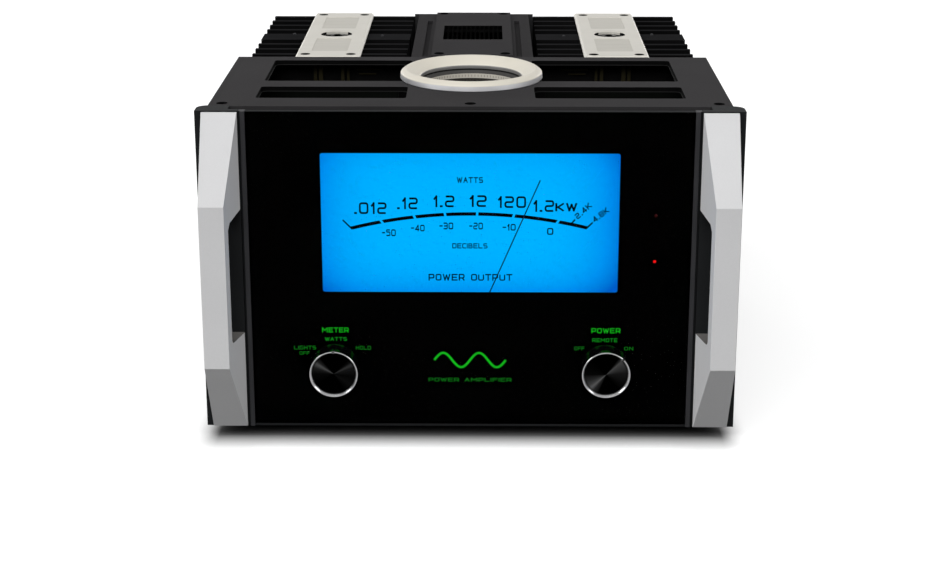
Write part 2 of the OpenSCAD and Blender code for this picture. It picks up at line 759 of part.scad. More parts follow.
knob_y1 = -knob_gap - knob_d;
module knob() difference() {
    union() {
        rod(knob_r, [knob_y1 + rim_d, -knob_gap]);
        rod(knob_r - rim_t, [knob_y1 + face_drop, -knob_gap - over]);
    }
    rod(shaft_r + run, [knob_y1 + 5, -knob_gap + over]);
}

module knob_rim() difference() {
    translate([0, knob_y1 + rim_d, 0]) rotate([90, 0, 0]) rotate_extrude()
        polygon([[knob_r - rim_t + run, 0], [knob_r, 0], [knob_r, 0.9], [knob_r - rim_t + 0.6, rim_d],
            [knob_r - rim_t + run, rim_d]]);
    // Pointer notch
    span([-0.8, 0.8], [knob_y1 - over, knob_y1 + rim_d - 0.6], [knob_r - 2 * rim_t, knob_r + over]);
}

module shaft() rod(shaft_r, [knob_y1 + 5 + run, switch_y1 - 1]);

module rotary_switch() difference() {
    union() {
        rod(switch_r, [frame_t + board_t, switch_y1]);
        rod(bushing_r, [mask_y1 + 5, frame_t + board_t + over]);
    }
    rod(shaft_r + run, [0, switch_y1 - 1 + gap]);
}

module meter_knob() color("#0c0c0e") on_axis(-1, 0) knob();
module meter_knob_rim() color("#e4e4e6") on_axis(-1, 0) knob_rim();
module meter_shaft() color("#a8a8aa") on_axis(-1, 0) shaft();
module meter_switch() color("#47484c") on_axis(-1, 0) rotary_switch();
module power_knob() color("#0c0c0e") on_axis(1, power_rest) knob();
module power_knob_rim() color("#e4e4e6") on_axis(1, power_rest) knob_rim();
module power_shaft() color("#a8a8aa") on_axis(1, power_rest) shaft();
module power_switch() color("#47484c") on_axis(1, 0) rotary_switch();

// Boards and their parts

module control_boards() color("#1d4a2f") {
    board_y = [frame_t, frame_t + board_t];
    both_sides() difference() {
        span([knob_x - 34, led_x + 12], board_y, [4, knob_z + 30]);
        rod(bushing_r + run, board_y + [-over, over], knob_x, knob_z);
    }
    span([led_x - 12, led_x + 12], board_y, [knob_z + 30, led_z[1] + 20]);
    // Light board at the back of the meter's box, with its rows of lamps
    span([ledge + box_wall + fit - box_x, box_x - box_wall - ledge - fit],
        [box_d - box_wall - board_t, box_d - box_wall], [box_z0 + 12, box_z1 - 12]);
    for (x = [-100 : 40 : 100], z = [meter_z + 30, meter_z + meter_h - 30])
        span([x - 2.5, x + 2.5], [box_d - box_wall - board_t - 1.5, box_d - box_wall - board_t],
            [z - 2.5, z + 2.5]);
}

module indicator_leds() color("#c01010") for (z = led_z)
    rod(led_r, [mask_y0, frame_t], led_x, z);

// Driver boards stand on pillars in front of the inner wall.
driver_gap = 14;
driver_y = [chassis_d - driver_gap, chassis_d - driver_gap + board_t];
board_edge = 13;
pillar_r = 3;
pillar_edge = 7;
pillar_screw_r = 1.5;
board_pillars = [for (x = window_x + [-pillar_edge, pillar_edge],
    z = window_z + [-pillar_edge, pillar_edge]) [x, z]];
module driver_boards() color("#1d4a2f") both_sides() {
    span(window_x + [-board_edge, board_edge], driver_y, window_z + [-board_edge, board_edge]);
    for (spot = board_pillars) {
        rod(pillar_r, [driver_y[1], chassis_d], spot[0], spot[1]);
        rod(pillar_screw_r - run, [chassis_d, wall_y1], spot[0], spot[1]);
    }
}

case_w = 16;
case_h = 21;
case_t = 5;
case_pitch = 25;
case_inset = 30;
module output_transistors() color("#18181a") both_sides()
    for (i = [-1.5 : 1.5], z = window_z + [case_inset, -case_inset])
        span(around(sink_x + i * case_pitch, case_w / 2), [wall_y1 - case_t, wall_y1],
            around(z, case_h / 2));

// Rear connectors

inlet_x = [-8, 24] + [-4, 4];
inlet_h = 26;
input_r = 11.8;
fuse_x = -38;
fuse_z = inlet_z;
fuse_r = 8;
selector_x = signal_x;
selector_z = signal_z + 23;
selector_w = 18;
selector_h = 9;
slider_w = 6;
// Line jacks as [x, z, radius]: two phono, two small
phono_r = 4.15;
phono_bore = 1.65;
phono_l = 12;
phono_dx = 12;
small_r = 4;
small_bore = 1.8;
small_dx = 9;
small_up = 30;
jack_l = 16;
jack_flange = 2.5;
jacks = [[signal_x - phono_dx, signal_z, phono_r + 1], [signal_x + phono_dx, signal_z, phono_r + 1],
    [-signal_x - small_dx, signal_z + small_up, small_r],
    [-signal_x + small_dx, signal_z + small_up, small_r]];

module mains_inlet() color("#121214") {
    mid = (inlet_x[0] + inlet_x[1]) / 2;
    depth = 26;
    difference() {
        union() {
            round_plate(inlet_x, [body_d - depth, body_d], around(inlet_z, inlet_h / 2), 2);
            round_plate(inlet_x + [-5, 5], [body_d, body_d + 3], around(inlet_z, inlet_h / 2 + 3), 4);
        }
        round_plate(inlet_x + [3, -3], [body_d - depth + 4, body_d + 3 + over],
            around(inlet_z, inlet_h / 2 - 3), 3);
    }
    // Flat blades, with the earth blade in the middle set apart
    for (blade = [[-9, 4], [9, 4], [0, -4]])
        span(around(mid + blade[0], 4), [body_d - depth + 3, body_d - 8],
            around(inlet_z + blade[1], 1));
}

module fuse_holder() color("#141416") difference() {
    union() {
        rod(fuse_r, [body_d - 34, body_d], fuse_x, fuse_z);
        rod(fuse_r + 2.5, [body_d, body_d + 3], fuse_x, fuse_z);
    }
    rod(fuse_r - 2.5, [body_d - 30, body_d + 3 + over], fuse_x, fuse_z);
}

module fuse_cap() color("#1e1e20") translate([fuse_x, 0, fuse_z]) difference() {
    union() {
        rod(fuse_r + 1, [body_d + 3 + gap, body_d + 9]);
        rod(fuse_r - 2.5 - run, [body_d - 26, body_d + 3 + over]);
    }
    span([-5, 5], [body_d + 7.5, body_d + 9 + over], [-0.9, 0.9]);
}

module post_bases() color("#b98f2f") for (spot = posts) {
    rod(collar_r, [body_d, body_d + collar_h], spot[0], spot[1]);
    rod(stud_r, [body_d + collar_h, body_d + rear_reach - 3], spot[0], spot[1]);
    rod(stud_r + 1.5, [rear_y0 - 9, body_d], spot[0], spot[1]);
}

// Knurled nut on the stud of one speaker terminal.
module post_nut(spot) color("#d0a640") translate([spot[0], 0, spot[1]]) {
    flutes = 12;
    difference() {
        rod(nut_r, [body_d + post_seat, body_d + rear_reach]);
        rod(stud_r + run, [body_d, body_d + rear_reach - 2.5]);
        for (i = [0 : flutes - 1]) rotate([0, i * 360 / flutes, 0])
            rod(1.1, [body_d + post_seat + 5, body_d + rear_reach - 2], nut_r + 0.4);
    }
}

// Three-hole balanced socket with its round plug channel.
module balanced_input() color("#a9abad") translate([-signal_x, 0, signal_z]) difference() {
    union() {
        rod(input_r, [body_d - 25, body_d]);
        round_plate([-13, 13], [body_d, body_d + 2.5], [-15.5, 15.5], 2);
    }
    difference() {
        rod(9.8, [body_d - 13, body_d + 2.5 + over]);
        rod(8, [body_d - 14, body_d + 2.5 + 2 * over]);
    }
    for (a = [0, 120, 240]) rotate([0, a, 0])
        rod(1.3, [body_d - 12, body_d + 2.5 + over], 0, -4.3);
    span([-latch_w / 2 - run, latch_w / 2 + run], [body_d - 2, body_d + 2.5 + over],
        latch_z + [-run, run]);
}

latch_w = 8;
latch_z = [11.2, 14];
module input_latch() color("#d7d8da") translate([-signal_x, 0, signal_z])
    span([-latch_w / 2, latch_w / 2], [body_d - 0.2, body_d + 5], latch_z);

module line_jacks() color("#c9a23a") for (spot = jacks) {
    phono = spot[2] > small_r;
    difference() {
        union() {
            rod(spot[2], [body_d - jack_l, body_d], spot[0], spot[1]);
            rod(spot[2] + 1.8, [body_d, body_d + jack_flange], spot[0], spot[1], $fn = 6);
            if (phono) rod(phono_r, [body_d + jack_flange, body_d + phono_l], spot[0], spot[1]);
        }
        rod(phono ? phono_bore : small_bore, [body_d - jack_l + 4.5, body_d + phono_l + over],
            spot[0], spot[1]);
    }
}

module selector_body() color("#1a1a1c") translate([selector_x, 0, selector_z]) difference() {
    union() {
        span(around(0, selector_w / 2), [body_d - 10, body_d], around(0, selector_h / 2));
        span(around(0, selector_w / 2 + 4), [body_d, body_d + 1], around(0, selector_h / 2 + 1));
    }
    span(around(0, selector_w / 2 - 2), [body_d - 6, body_d + 1 + over], around(0, slider_h / 2 + run));
}

slider_h = 4;
slider_x = 2.2 - selector_w / 2;
module selector_slider() color("#e8e8e8") translate([selector_x, 0, selector_z])
    span([slider_x, slider_x + slider_w], [body_d - 6 + gap, body_d + 4],
        around(0, slider_h / 2));

// Power supply and output transformer

// Round-cornered ring section standing on the tray.
module power_transformer() color("#20304a") translate([0, ring_y - 4, tray_t]) {
    inner_r = 22;
    dish_h = 4;
    rotate_extrude() translate([(inner_r + toroid_r) / 2, toroid_h / 2])
        round_rect([toroid_r - inner_r, toroid_h], 10);
    translate([0, 0, toroid_h]) cylinder(r = inner_r + 18, h = dish_h);
    cylinder(r = 4, h = toroid_h);
    translate([0, 0, toroid_h + dish_h]) cylinder(r = 8, h = 6, $fn = 6);
}

module filter_capacitors() color("#16406e") both_sides()
    for (y = [chassis_d - 14 - 2 * over - can_r, chassis_d - 16 - 4 * over - 3 * can_r])
        translate([toroid_r + can_r + 12, y, tray_t]) {
            cylinder(r = can_r, h = can_h);
            for (x = [-10, 10]) translate([x, 0, can_h]) cylinder(r = 4, h = 6);
        }

former_h = 140;
former_room = 16;
former_tail = 70;
cover_edge = 13;
cover_h = 12;
module output_autoformer() color("#26282c") {
    x = around(0, tower_x - tower_wall - 6);
    y = [wall_y1 + former_room, body_d - former_tail];
    round_block(x, y, [tray_t, tray_t + former_h], 6);
    round_block(x + [cover_edge, -cover_edge], y + [cover_edge, -cover_edge],
        [tray_t + former_h, tray_t + former_h + cover_h], 4);
}

placed() base_tray();
placed() front_frame();
placed() front_glass();
placed() glass_mask();
placed() glass_strips();
placed() left_handle();
placed() right_handle();
placed() chassis_bolts();
placed() top_plate();
placed() cover_screws();
placed() top_ring();
placed() ring_sleeve();
placed() ring_lens();
placed() left_side_panel();
placed() right_side_panel();
placed() inner_wall();
placed() tower_shell();
placed() tower_lid();
placed() rear_panel();
placed() left_heat_sink();
placed() right_heat_sink();
placed() left_sink_cap();
placed() right_sink_cap();
placed() feet();
placed() meter_box();
placed() meter_dial();
placed() meter_magnet();
placed() meter_bridge();
placed() meter_needle();
placed() meter_coil();
placed() meter_knob();
placed() meter_knob_rim();
placed() meter_shaft();
placed() meter_switch();
placed() power_knob();
placed() power_knob_rim();
placed() power_shaft();
placed() power_switch();
placed() control_boards();
placed() driver_boards();
placed() output_transistors();
placed() indicator_leds();
placed() mains_inlet();
placed() fuse_holder();
placed() fuse_cap();
placed() post_bases();
placed() post_nut(posts[0]);  // post_nut_1
placed() post_nut(posts[1]);  // post_nut_2
placed() post_nut(posts[2]);  // post_nut_3
placed() post_nut(posts[3]);  // post_nut_4
placed() post_nut(posts[4]);  // post_nut_5
placed() post_nut(posts[5]);  // post_nut_6
placed() balanced_input();
placed() input_latch();
placed() line_jacks();
placed() selector_body();
placed() selector_slider();
placed() power_transformer();
placed() filter_capacitors();
placed() output_autoformer();
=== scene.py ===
"""Dressed scene of a mono power amplifier on a pale studio floor.

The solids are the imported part. Each one gets its finish here, edges that show are softened,
and the dial print, lit words, tick band, rear legends and small fittings are added.
Sizes are in millimetres in the front panel's frame: X right, Y back from the glass face,
Z up from the front frame's bottom edge.
"""

import logging
import math
from contextlib import contextmanager
from dataclasses import dataclass, replace
from enum import Enum
from typing import Callable, Iterator, Optional, Sequence

import bpy
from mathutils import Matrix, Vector


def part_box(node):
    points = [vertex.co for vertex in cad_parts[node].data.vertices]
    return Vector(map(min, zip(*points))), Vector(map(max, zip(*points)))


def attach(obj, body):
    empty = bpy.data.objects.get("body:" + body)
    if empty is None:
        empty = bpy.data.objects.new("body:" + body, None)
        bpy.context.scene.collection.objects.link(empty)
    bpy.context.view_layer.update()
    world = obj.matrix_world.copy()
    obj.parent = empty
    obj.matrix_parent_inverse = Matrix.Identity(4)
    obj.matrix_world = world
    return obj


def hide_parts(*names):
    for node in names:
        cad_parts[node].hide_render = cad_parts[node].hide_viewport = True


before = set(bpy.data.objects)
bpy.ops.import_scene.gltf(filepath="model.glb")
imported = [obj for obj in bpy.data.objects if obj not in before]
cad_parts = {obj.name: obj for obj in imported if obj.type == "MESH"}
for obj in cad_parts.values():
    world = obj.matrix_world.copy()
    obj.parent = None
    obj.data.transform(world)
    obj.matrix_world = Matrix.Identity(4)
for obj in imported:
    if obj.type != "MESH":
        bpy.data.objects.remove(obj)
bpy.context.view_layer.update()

LOG = logging.getLogger("amplifier")
MM = 0.001
PANEL = Vector((0.0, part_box("front_glass")[0].y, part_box("front_frame")[0].z))
MAIN = "amplifier"
SIDES = (("left", -1), ("right", 1))
X_AXIS, Y_AXIS, Z_AXIS = Vector((1, 0, 0)), Vector((0, 1, 0)), Vector((0, 0, 1))
WHITE, MID_GREY, BLACK = (1.0, 1.0, 1.0), (0.5, 0.5, 0.5), (0.0, 0.0, 0.0)

# Points nearer than MERGE metres are one. Faces that bend less than FLAT degrees are one, and
# edges that bend more than SHARP degrees, or TURNED on a turned piece, are edges.
MERGE = 2e-6
FLAT = 0.4
SHARP, TURNED = 32.0, 40.0

# Share of a direction along an axis: SQUARE or more looks along it, more than TOP mostly
# does, less than STEEP doesn't. A face within NEAR of a plane lies on it, and SLACK widens a
# range that a face lies in.
SQUARE, TOP, STEEP = 0.9, 0.6, 0.5
NEAR = 0.1
SLACK = 0.02

# Distances of the ring's middle and of the rear face from the glass face.
RING_Y, REAR_Y = 132.0, 440.0

# Thickness of print, rounding of its edges, and depth of a bump as a share of its grain's size.
PRINT_THICK, PRINT_EDGE = 0.06, 0.02
BUMP_DEPTH = 0.2

Piece = bpy.types.Object
Face = bpy.types.MeshPolygon
Socket = bpy.types.NodeSocket
Pair = tuple[float, float]
Outline = Sequence[Pair]


def at(x: float, y: float, z: float) -> Vector:
    """Point of the panel's frame, in metres in the part's frame."""
    return PANEL + Vector((x, y, z)) * MM


def local(point: Vector) -> Vector:
    """Point of the part's frame, in millimetres in the panel's frame."""
    return (point - PANEL) / MM


def spot(face: Face) -> Vector:
    """Middle of a face in the panel's frame, in millimetres."""
    return local(face.center)


def reach(face: Face, x: float, y: float) -> float:
    """Distance of a face from an upright axis of the panel's frame, in millimetres."""
    return math.hypot(spot(face).x - x, spot(face).y - y)


# Modelling bench


def pick(*pieces: Piece) -> None:
    """Leave object mode as the mode and the given pieces as the whole selection.

    Args:
        pieces: What to select. The first one becomes active.
    """
    if bpy.context.object and bpy.context.object.mode != "OBJECT":
        bpy.ops.object.mode_set(mode="OBJECT")
    bpy.ops.object.select_all(action="DESELECT")
    for piece in pieces:
        piece.select_set(True)
    if pieces:
        bpy.context.view_layer.objects.active = pieces[0]


@contextmanager
def edit(piece: Piece, kind: str = "VERT", everything: bool = True) -> Iterator[None]:
    """Open one piece in edit mode.

    Args:
        piece: The mesh to open.
        kind: Select mode, VERT, EDGE or FACE.
        everything: Select the whole mesh, or keep the selection made in code.
    """
    pick(piece)
    kinds = [kind == name for name in ("VERT", "EDGE", "FACE")]
    bpy.context.tool_settings.mesh_select_mode = kinds
    bpy.ops.object.mode_set(mode="EDIT")
    if everything:
        bpy.ops.mesh.select_all(action="SELECT")
    yield
    bpy.ops.object.mode_set(mode="OBJECT")


def weld(distance: float = MERGE) -> None:
    """Join the points of the open mesh that lie together."""
    bpy.ops.mesh.select_all(action="SELECT")
    bpy.ops.mesh.remove_doubles(threshold=distance)


def choose_faces(piece: Piece, test: Callable[[Face], bool]) -> None:
    """Select the faces that pass a test.

    Args:
        piece: The mesh to choose in.
        test: Called with each face.
    """
    mesh = piece.data
    for group in (mesh.vertices, mesh.edges, mesh.polygons):
        group.foreach_set("select", [False] * len(group))
    for face in mesh.polygons:
        if test(face):
            face.select = True
            for corner in face.vertices:
                mesh.vertices[corner].select = True


def choose_edges(piece: Piece, test: Callable[[Vector], bool]) -> None:
    """Select the edges that have both ends pass a test.

    Args:
        piece: The mesh to choose in.
        test: Called with a point of the panel's frame, in millimetres.
    """
    choose_faces(piece, lambda face: False)
    for line in piece.data.edges:
        ends = [piece.data.vertices[number] for number in line.vertices]
        if all(test(local(end.co)) for end in ends):
            line.select = True
            for end in ends:
                end.select = True


def settle(*pieces: Piece) -> Piece:
    """Put the place, turn and scale of pieces into their meshes.

    Args:
        pieces: The pieces, which end up selected.

    Returns:
        The first one.
    """
    pick(*pieces)
    bpy.ops.object.transform_apply(location=True, rotation=True, scale=True)
    return pieces[0]


def join(pieces: Sequence[Piece]) -> Piece:
    """Join pieces into the first one.

    Args:
        pieces: The pieces.

    Returns:
        The first one, with the meshes of all.
    """
    pick(*pieces)
    if len(pieces) > 1:
        bpy.ops.object.join()
    return pieces[0]


def modify(piece: Piece, kind: str, **settings: object) -> None:
    """Add a modifier, set it and apply it.

    Args:
        piece: The mesh to change.
        kind: Type of the modifier.
        settings: Its properties.
    """
    pick(piece)
    modifier = piece.modifiers.new(kind.lower(), kind)
    for key, value in settings.items():
        setattr(modifier, key, value)
    bpy.ops.object.modifier_apply(modifier=modifier.name)


def carve(piece: Piece, tool: Piece, operation: str = "DIFFERENCE") -> None:
    """Cut a piece with another, which is used up."""
    modify(piece, "BOOLEAN", operation=operation, object=tool, solver="EXACT")
    bpy.data.objects.remove(tool)


def smooth(piece: Piece, angle: float) -> None:
    """Shade round faces smooth and keep flat faces flat.

    Args:
        piece: The mesh to shade.
        angle: Edges sharper than this, in degrees, stay edges.
    """
    pick(piece)
    bpy.ops.object.shade_smooth_by_angle(angle=math.radians(angle))
    modify(piece, "WEIGHTED_NORMAL", keep_sharp=True, weight=80)


def soften(piece: Piece, width: float, segments: int = 2, angle: float = SHARP) -> None:
    """Round the sharp edges of a piece.

    Args:
        piece: The mesh to round.
        width: Width of the rounding in millimetres.
        segments: Faces across the rounding.
        angle: Edges sharper than this, in degrees, are rounded.
    """
    modify(piece, "BEVEL", width=width * MM, segments=segments, limit_method="ANGLE",
           angle_limit=math.radians(angle), use_clamp_overlap=True, miter_outer="MITER_ARC")
    smooth(piece, angle)


def copy_node(node: str) -> Piece:
    """Copy a solid's mesh into a new piece with whole faces.

    Args:
        node: Name of the solid.

    Returns:
        The new piece, named after the solid.
    """
    piece = bpy.data.objects.new(f"{node}_dressed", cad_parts[node].data.copy())
    bpy.context.scene.collection.objects.link(piece)
    piece.data.materials.clear()
    pick(piece)
    bpy.ops.mesh.customdata_custom_splitnormals_clear()
    with edit(piece):
        weld()
        bpy.ops.mesh.dissolve_limited(angle_limit=math.radians(FLAT))
    return piece


def draw(name: str, points: Sequence[Vector], closed: bool = False) -> Piece:
    """Draw a wire outline point by point.

    Args:
        name: Name of the new piece.
        points: The outline's points, in metres.
        closed: Join the last point to the first.

    Returns:
        A piece with edges only.
    """
    pick()
    bpy.ops.mesh.primitive_plane_add(size=MM, location=points[0])
    piece = settle(bpy.context.object)
    piece.name = name
    path = [*points, points[0]] if closed else list(points)
    with edit(piece):
        bpy.ops.mesh.merge(type="CENTER")
        for start, end in zip(path, path[1:]):
            bpy.ops.mesh.extrude_vertices_move(TRANSFORM_OT_translate={"value": end - start})
        weld()
    return piece


def tube(piece: Piece, radius: float, rings: int, caps: bool = True) -> Piece:
    """Make a round bar along a drawn outline.

    Args:
        piece: The outline, which is used up.
        radius: Radius of the bar in millimetres.
        rings: How finely the bar is rounded.
        caps: Close its ends.

    Returns:
        The bar.
    """
    pick(piece)
    bpy.ops.object.convert(target="CURVE")
    curve = bpy.context.object.data
    curve.bevel_depth = radius * MM
    curve.bevel_resolution = rings
    curve.use_fill_caps = caps
    bpy.ops.object.convert(target="MESH")
    return bpy.context.object


def spin(piece: Piece, steps: int, angle: float, centre: Vector, axis: Vector) -> None:
    """Sweep a drawn outline or a face about an axis, with the new faces outwards.

    Args:
        piece: The outline.
        steps: Steps in the sweep.
        angle: Angle of the sweep, in radians.
        centre: Point on the axis.
        axis: Direction of the axis.
    """
    with edit(piece):
        bpy.ops.mesh.spin(steps=steps, angle=angle, center=centre, axis=axis)
        weld()
        bpy.ops.mesh.normals_make_consistent(inside=False)


def lathe(name: str, outline: Outline, centre: Vector, axis: Vector, steps: int) -> Piece:
    """Turn a closed outline about an axis.

    Args:
        name: Name of the new piece.
        outline: Points as (radius, distance along the axis) in millimetres.
        centre: Point on the axis.
        axis: Direction of the axis.
        steps: Steps in the full turn.

    Returns:
        The turned piece, closed, with its faces outwards.
    """
    out = X_AXIS if abs(axis.x) < STEEP else Y_AXIS
    points = [centre + (out * r + axis * a) * MM for r, a in outline]
    piece = draw(name, points, closed=True)
    spin(piece, steps, math.tau, centre, axis)
    smooth(piece, TURNED)
    return piece


def cube(middle: Vector, size: Sequence[float], turn: float = 0.0) -> Piece:
    """Sharp block about a point.

    Args:
        middle: Its middle, in metres.
        size: Its lengths along X, Y and Z, in metres.
        turn: Its turn about Y, in radians.

    Returns:
        The block.
    """
    pick()
    bpy.ops.mesh.primitive_cube_add(size=1.0, location=middle, rotation=(0, turn, 0), scale=size)
    return settle(bpy.context.object)


def cutter(low: Sequence[float], high: Sequence[float]) -> Piece:
    """Sharp block between two corners of the panel's frame, to cut or soften."""
    lo, hi = at(*low), at(*high)
    return cube((lo + hi) / 2, hi - lo)


def block(name: str, low: Sequence[float], high: Sequence[float], soft: float) -> Piece:
    """Softened block between two corners of the panel's frame.

    Args:
        name: Name of the new piece.
        low: Its low corner, in millimetres.
        high: Its high corner.
        soft: Rounding of its edges.

    Returns:
        The block.
    """
    piece = cutter(low, high)
    piece.name = name
    soften(piece, soft)
    return piece


def bar(name: str, start: Pair, end: Pair, y: float, width: float) -> Piece:
    """Flat printed stroke on a plane that faces forward.

    Args:
        name: Name of the new piece.
        start: X and Z of one end, in millimetres.
        end: X and Z of the other end.
        y: Distance of the stroke's middle from the glass face.
        width: Width of the stroke.

    Returns:
        The stroke, a few hundredths thick.
    """
    run = Vector((end[0] - start[0], 0, end[1] - start[1]))
    middle = at((start[0] + end[0]) / 2, y, (start[1] + end[1]) / 2)
    piece = cube(middle, (run.length * MM, PRINT_THICK * MM, width * MM),
                 -math.atan2(run.z, run.x))
    piece.name = name
    soften(piece, PRINT_EDGE)
    return piece


# Lettering


class Facing(Enum):
    """Side of the amplifier that a word is read from."""

    FRONT = (math.pi / 2, 0.0, 0.0)
    BACK = (math.pi / 2, 0.0, math.pi)


# Strokes of each sign on a grid of eight by eight, as pairs of x and y. The first letter of a
# stroke says how its corners run: s sharp, r rounded, c rounded and closed.
STROKES: dict[str, str] = {
    "A": "s004880 s2363", "B": "s0008 r08787404 r04848000", "C": "r88080080",
    "D": "s0008 r08888000", "E": "s88080080 s0474", "F": "s880800 s0474",
    "G": "r880800808454", "H": "s0008 s8088 s0484", "I": "s0008", "K": "s0008 s882480 s0424",
    "L": "s080080", "M": "s0008438880", "N": "s00088088", "O": "c00088880",
    "P": "s0008 r08888303", "R": "s0008 r08888303 s5380", "S": "r880804848000",
    "T": "s0888 s4840", "U": "r08008088", "W": "s0820476088",
    "0": "c00088880", "1": "s264840", "2": "r088884040080", "3": "r08888000 s2484",
    "4": "s680282 s6860", "5": "r880805858000", "8": "c00088880 s0484", "-": "s0454",
    ".": "s0010"}


class SquareType:
    """Squared stroke letters, each modelled once on a grid of one millimetre.

    Attributes:
        narrow: Width of the grid as a share of its height.
        broad: How much wider the grid of an M or W is.
        bend: Radius of a rounded corner.
        steps: Steps in a rounded corner.
        gap: Space between the middles of two signs' strokes.
        blank: Width of a blank.
    """

    narrow = 0.86
    broad = 1.35
    bend = 1.9
    steps = 4
    gap = 3.5
    blank = 7.5

    def __init__(self) -> None:
        """Start with no letters made."""
        self._made: dict[tuple[str, float], bpy.types.Mesh] = {}

    def line(self, text: str, weight: float) -> Piece:
        """Set a line of copies of the letters.

        Args:
            text: What it says.
            weight: Thickness of the strokes.

        Returns:
            The line as one flat piece that faces up.
        """
        pieces, pen = [], 0.0
        for sign in text:
            if sign == " ":
                pen += self.blank
                continue
            mesh = self._letter(sign, weight).copy()
            piece = bpy.data.objects.new(text, mesh)
            bpy.context.scene.collection.objects.link(piece)
            across = [v.co.x for v in mesh.vertices]
            piece.location = (pen * MM - min(across), 0, 0)
            pen += (max(across) - min(across)) / MM + self.gap - weight
            pieces.append(piece)
        settle(*pieces)
        return join(pieces)

    def _letter(self, sign: str, weight: float) -> bpy.types.Mesh:
        """Give the mesh of one sign, modelled at its first use.

        Args:
            sign: The sign.
            weight: Thickness of its strokes.

        Returns:
            The mesh.
        """
        key = (sign, weight)
        if key not in self._made:
            letter = join([self._stroke(points, closed, weight)
                           for points, closed in self._paths(sign, weight)])
            self._made[key] = letter.data
            bpy.data.objects.remove(letter)
        return self._made[key]

    def _paths(self, sign: str, weight: float) -> Iterator[tuple[list[Vector], bool]]:
        """Go through the paths that make a sign.

        Args:
            sign: The sign.
            weight: Thickness of its strokes.

        Yields:
            The points of a path, and whether it is closed.
        """
        wide = self.narrow * (self.broad if sign in "MW" else 1.0)
        for stroke in STROKES[sign].split():
            kind, digits = stroke[0], stroke[1:]
            points = [Vector((int(x) * wide, int(y), 0))
                      for x, y in zip(digits[::2], digits[1::2])]
            if kind != "s":
                yield self._rounded(points, kind == "c"), kind == "c"
                continue
            for start, end in zip(points, points[1:]):
                tip = (end - start).normalized() * weight / 2
                yield [start - tip, end + tip], False

    @staticmethod
    def _stroke(points: Sequence[Vector], closed: bool, weight: float) -> Piece:
        """Model one stroke as a flat bar along its path.

        Args:
            points: The path's points, in millimetres.
            closed: Whether it runs back to its start.
            weight: Thickness of the stroke.

        Returns:
            The stroke.
        """
        piece = tube(draw("stroke", [point * MM for point in points], closed), weight / 2, 1)
        with edit(piece):
            bpy.ops.transform.resize(value=(1, 1, PRINT_THICK / weight),
                                     center_override=(0, 0, 0))
        return piece

    def _rounded(self, points: Sequence[Vector], closed: bool) -> list[Vector]:
        """Round the corners of a path.

        Args:
            points: Its corners.
            closed: Whether it runs back to its start.

        Returns:
            The path's points with each corner as a short bend.
        """
        path: list[Vector] = []
        for number, corner in enumerate(points):
            if not closed and number in (0, len(points) - 1):
                path.append(corner)
                continue
            start = corner + (points[number - 1] - corner).normalized() * self.bend
            end = corner + (points[(number + 1) % len(points)] - corner).normalized() * self.bend
            for step in range(self.steps + 1):
                share = step / self.steps
                path.append(start * (1 - share) ** 2 + corner * 2 * share * (1 - share)
                            + end * share ** 2)
        return path


TYPE = SquareType()


@dataclass(frozen=True)
class Word:
    """One line of plain lettering.

    Attributes:
        text: What it says.
        x: Middle, across.
        z: Middle, up.
        width: Width over all.
        height: Height of its capitals.
        turn: Turn in its own plane, in degrees, to the left.
        weight: Thickness of the strokes, in eighths of the height between their middles.
    """

    text: str
    x: float
    z: float
    width: float
    height: float
    turn: float = 0.0
    weight: float = 1.6

    def cut(self, name: str, y: float, facing: Facing = Facing.FRONT) -> Piece:
        """Set the word as a thin mesh.

        Args:
            name: Name of the new piece.
            y: Distance of its middle from the glass face.
            facing: Side that it is read from.

        Returns:
            The word, a few hundredths thick.
        """
        piece = TYPE.line(self.text, self.weight)
        piece.name = name
        across = [v.co.x for v in piece.data.vertices]
        up = [v.co.y for v in piece.data.vertices]
        kx = self.width * MM / (max(across) - min(across))
        ky = self.height * MM / (max(up) - min(up))
        piece.scale = (kx, ky, 1.0)
        piece.location = (-kx * (max(across) + min(across)) / 2, -ky * (max(up) + min(up)) / 2, 0)
        settle(piece)
        piece.rotation_euler = (0, 0, math.radians(self.turn))
        settle(piece)
        piece.rotation_euler = facing.value
        piece.location = at(self.x, y, self.z)
        return settle(piece)


def lines(weight: float, *rows: tuple[str, float, float, float, float]) -> tuple[Word, ...]:
    """Words that share a thickness of stroke, from their other values in order."""
    return tuple(Word(*row, weight=weight) for row in rows)


# Finishes


class Grain(Enum):
    """Texture that a finish carries, as the stretch of its grain along X, Y and Z."""

    EVEN = (1.0, 1.0, 1.0)
    ALONG_X = (0.02, 1.0, 1.0)
    ALONG_Y = (1.0, 0.02, 1.0)
    ALONG_Z = (1.0, 1.0, 0.02)
    ROUND_Y = (1.0, 0.0, 1.0)
    ROUND_Z = (1.0, 1.0, 0.0)

    @property
    def turned(self) -> bool:
        """Whether the grain runs in rings about an axis."""
        return 0.0 in self.value


def linear(tone: str) -> tuple[float, float, float, float]:
    """Linear colour of a six-digit screen colour."""
    parts = [int(tone[i:i + 2], 16) / 255 for i in (0, 2, 4)]
    return (*[p / 12.92 if p <= 0.04045 else ((p + 0.055) / 1.055) ** 2.4 for p in parts], 1.0)


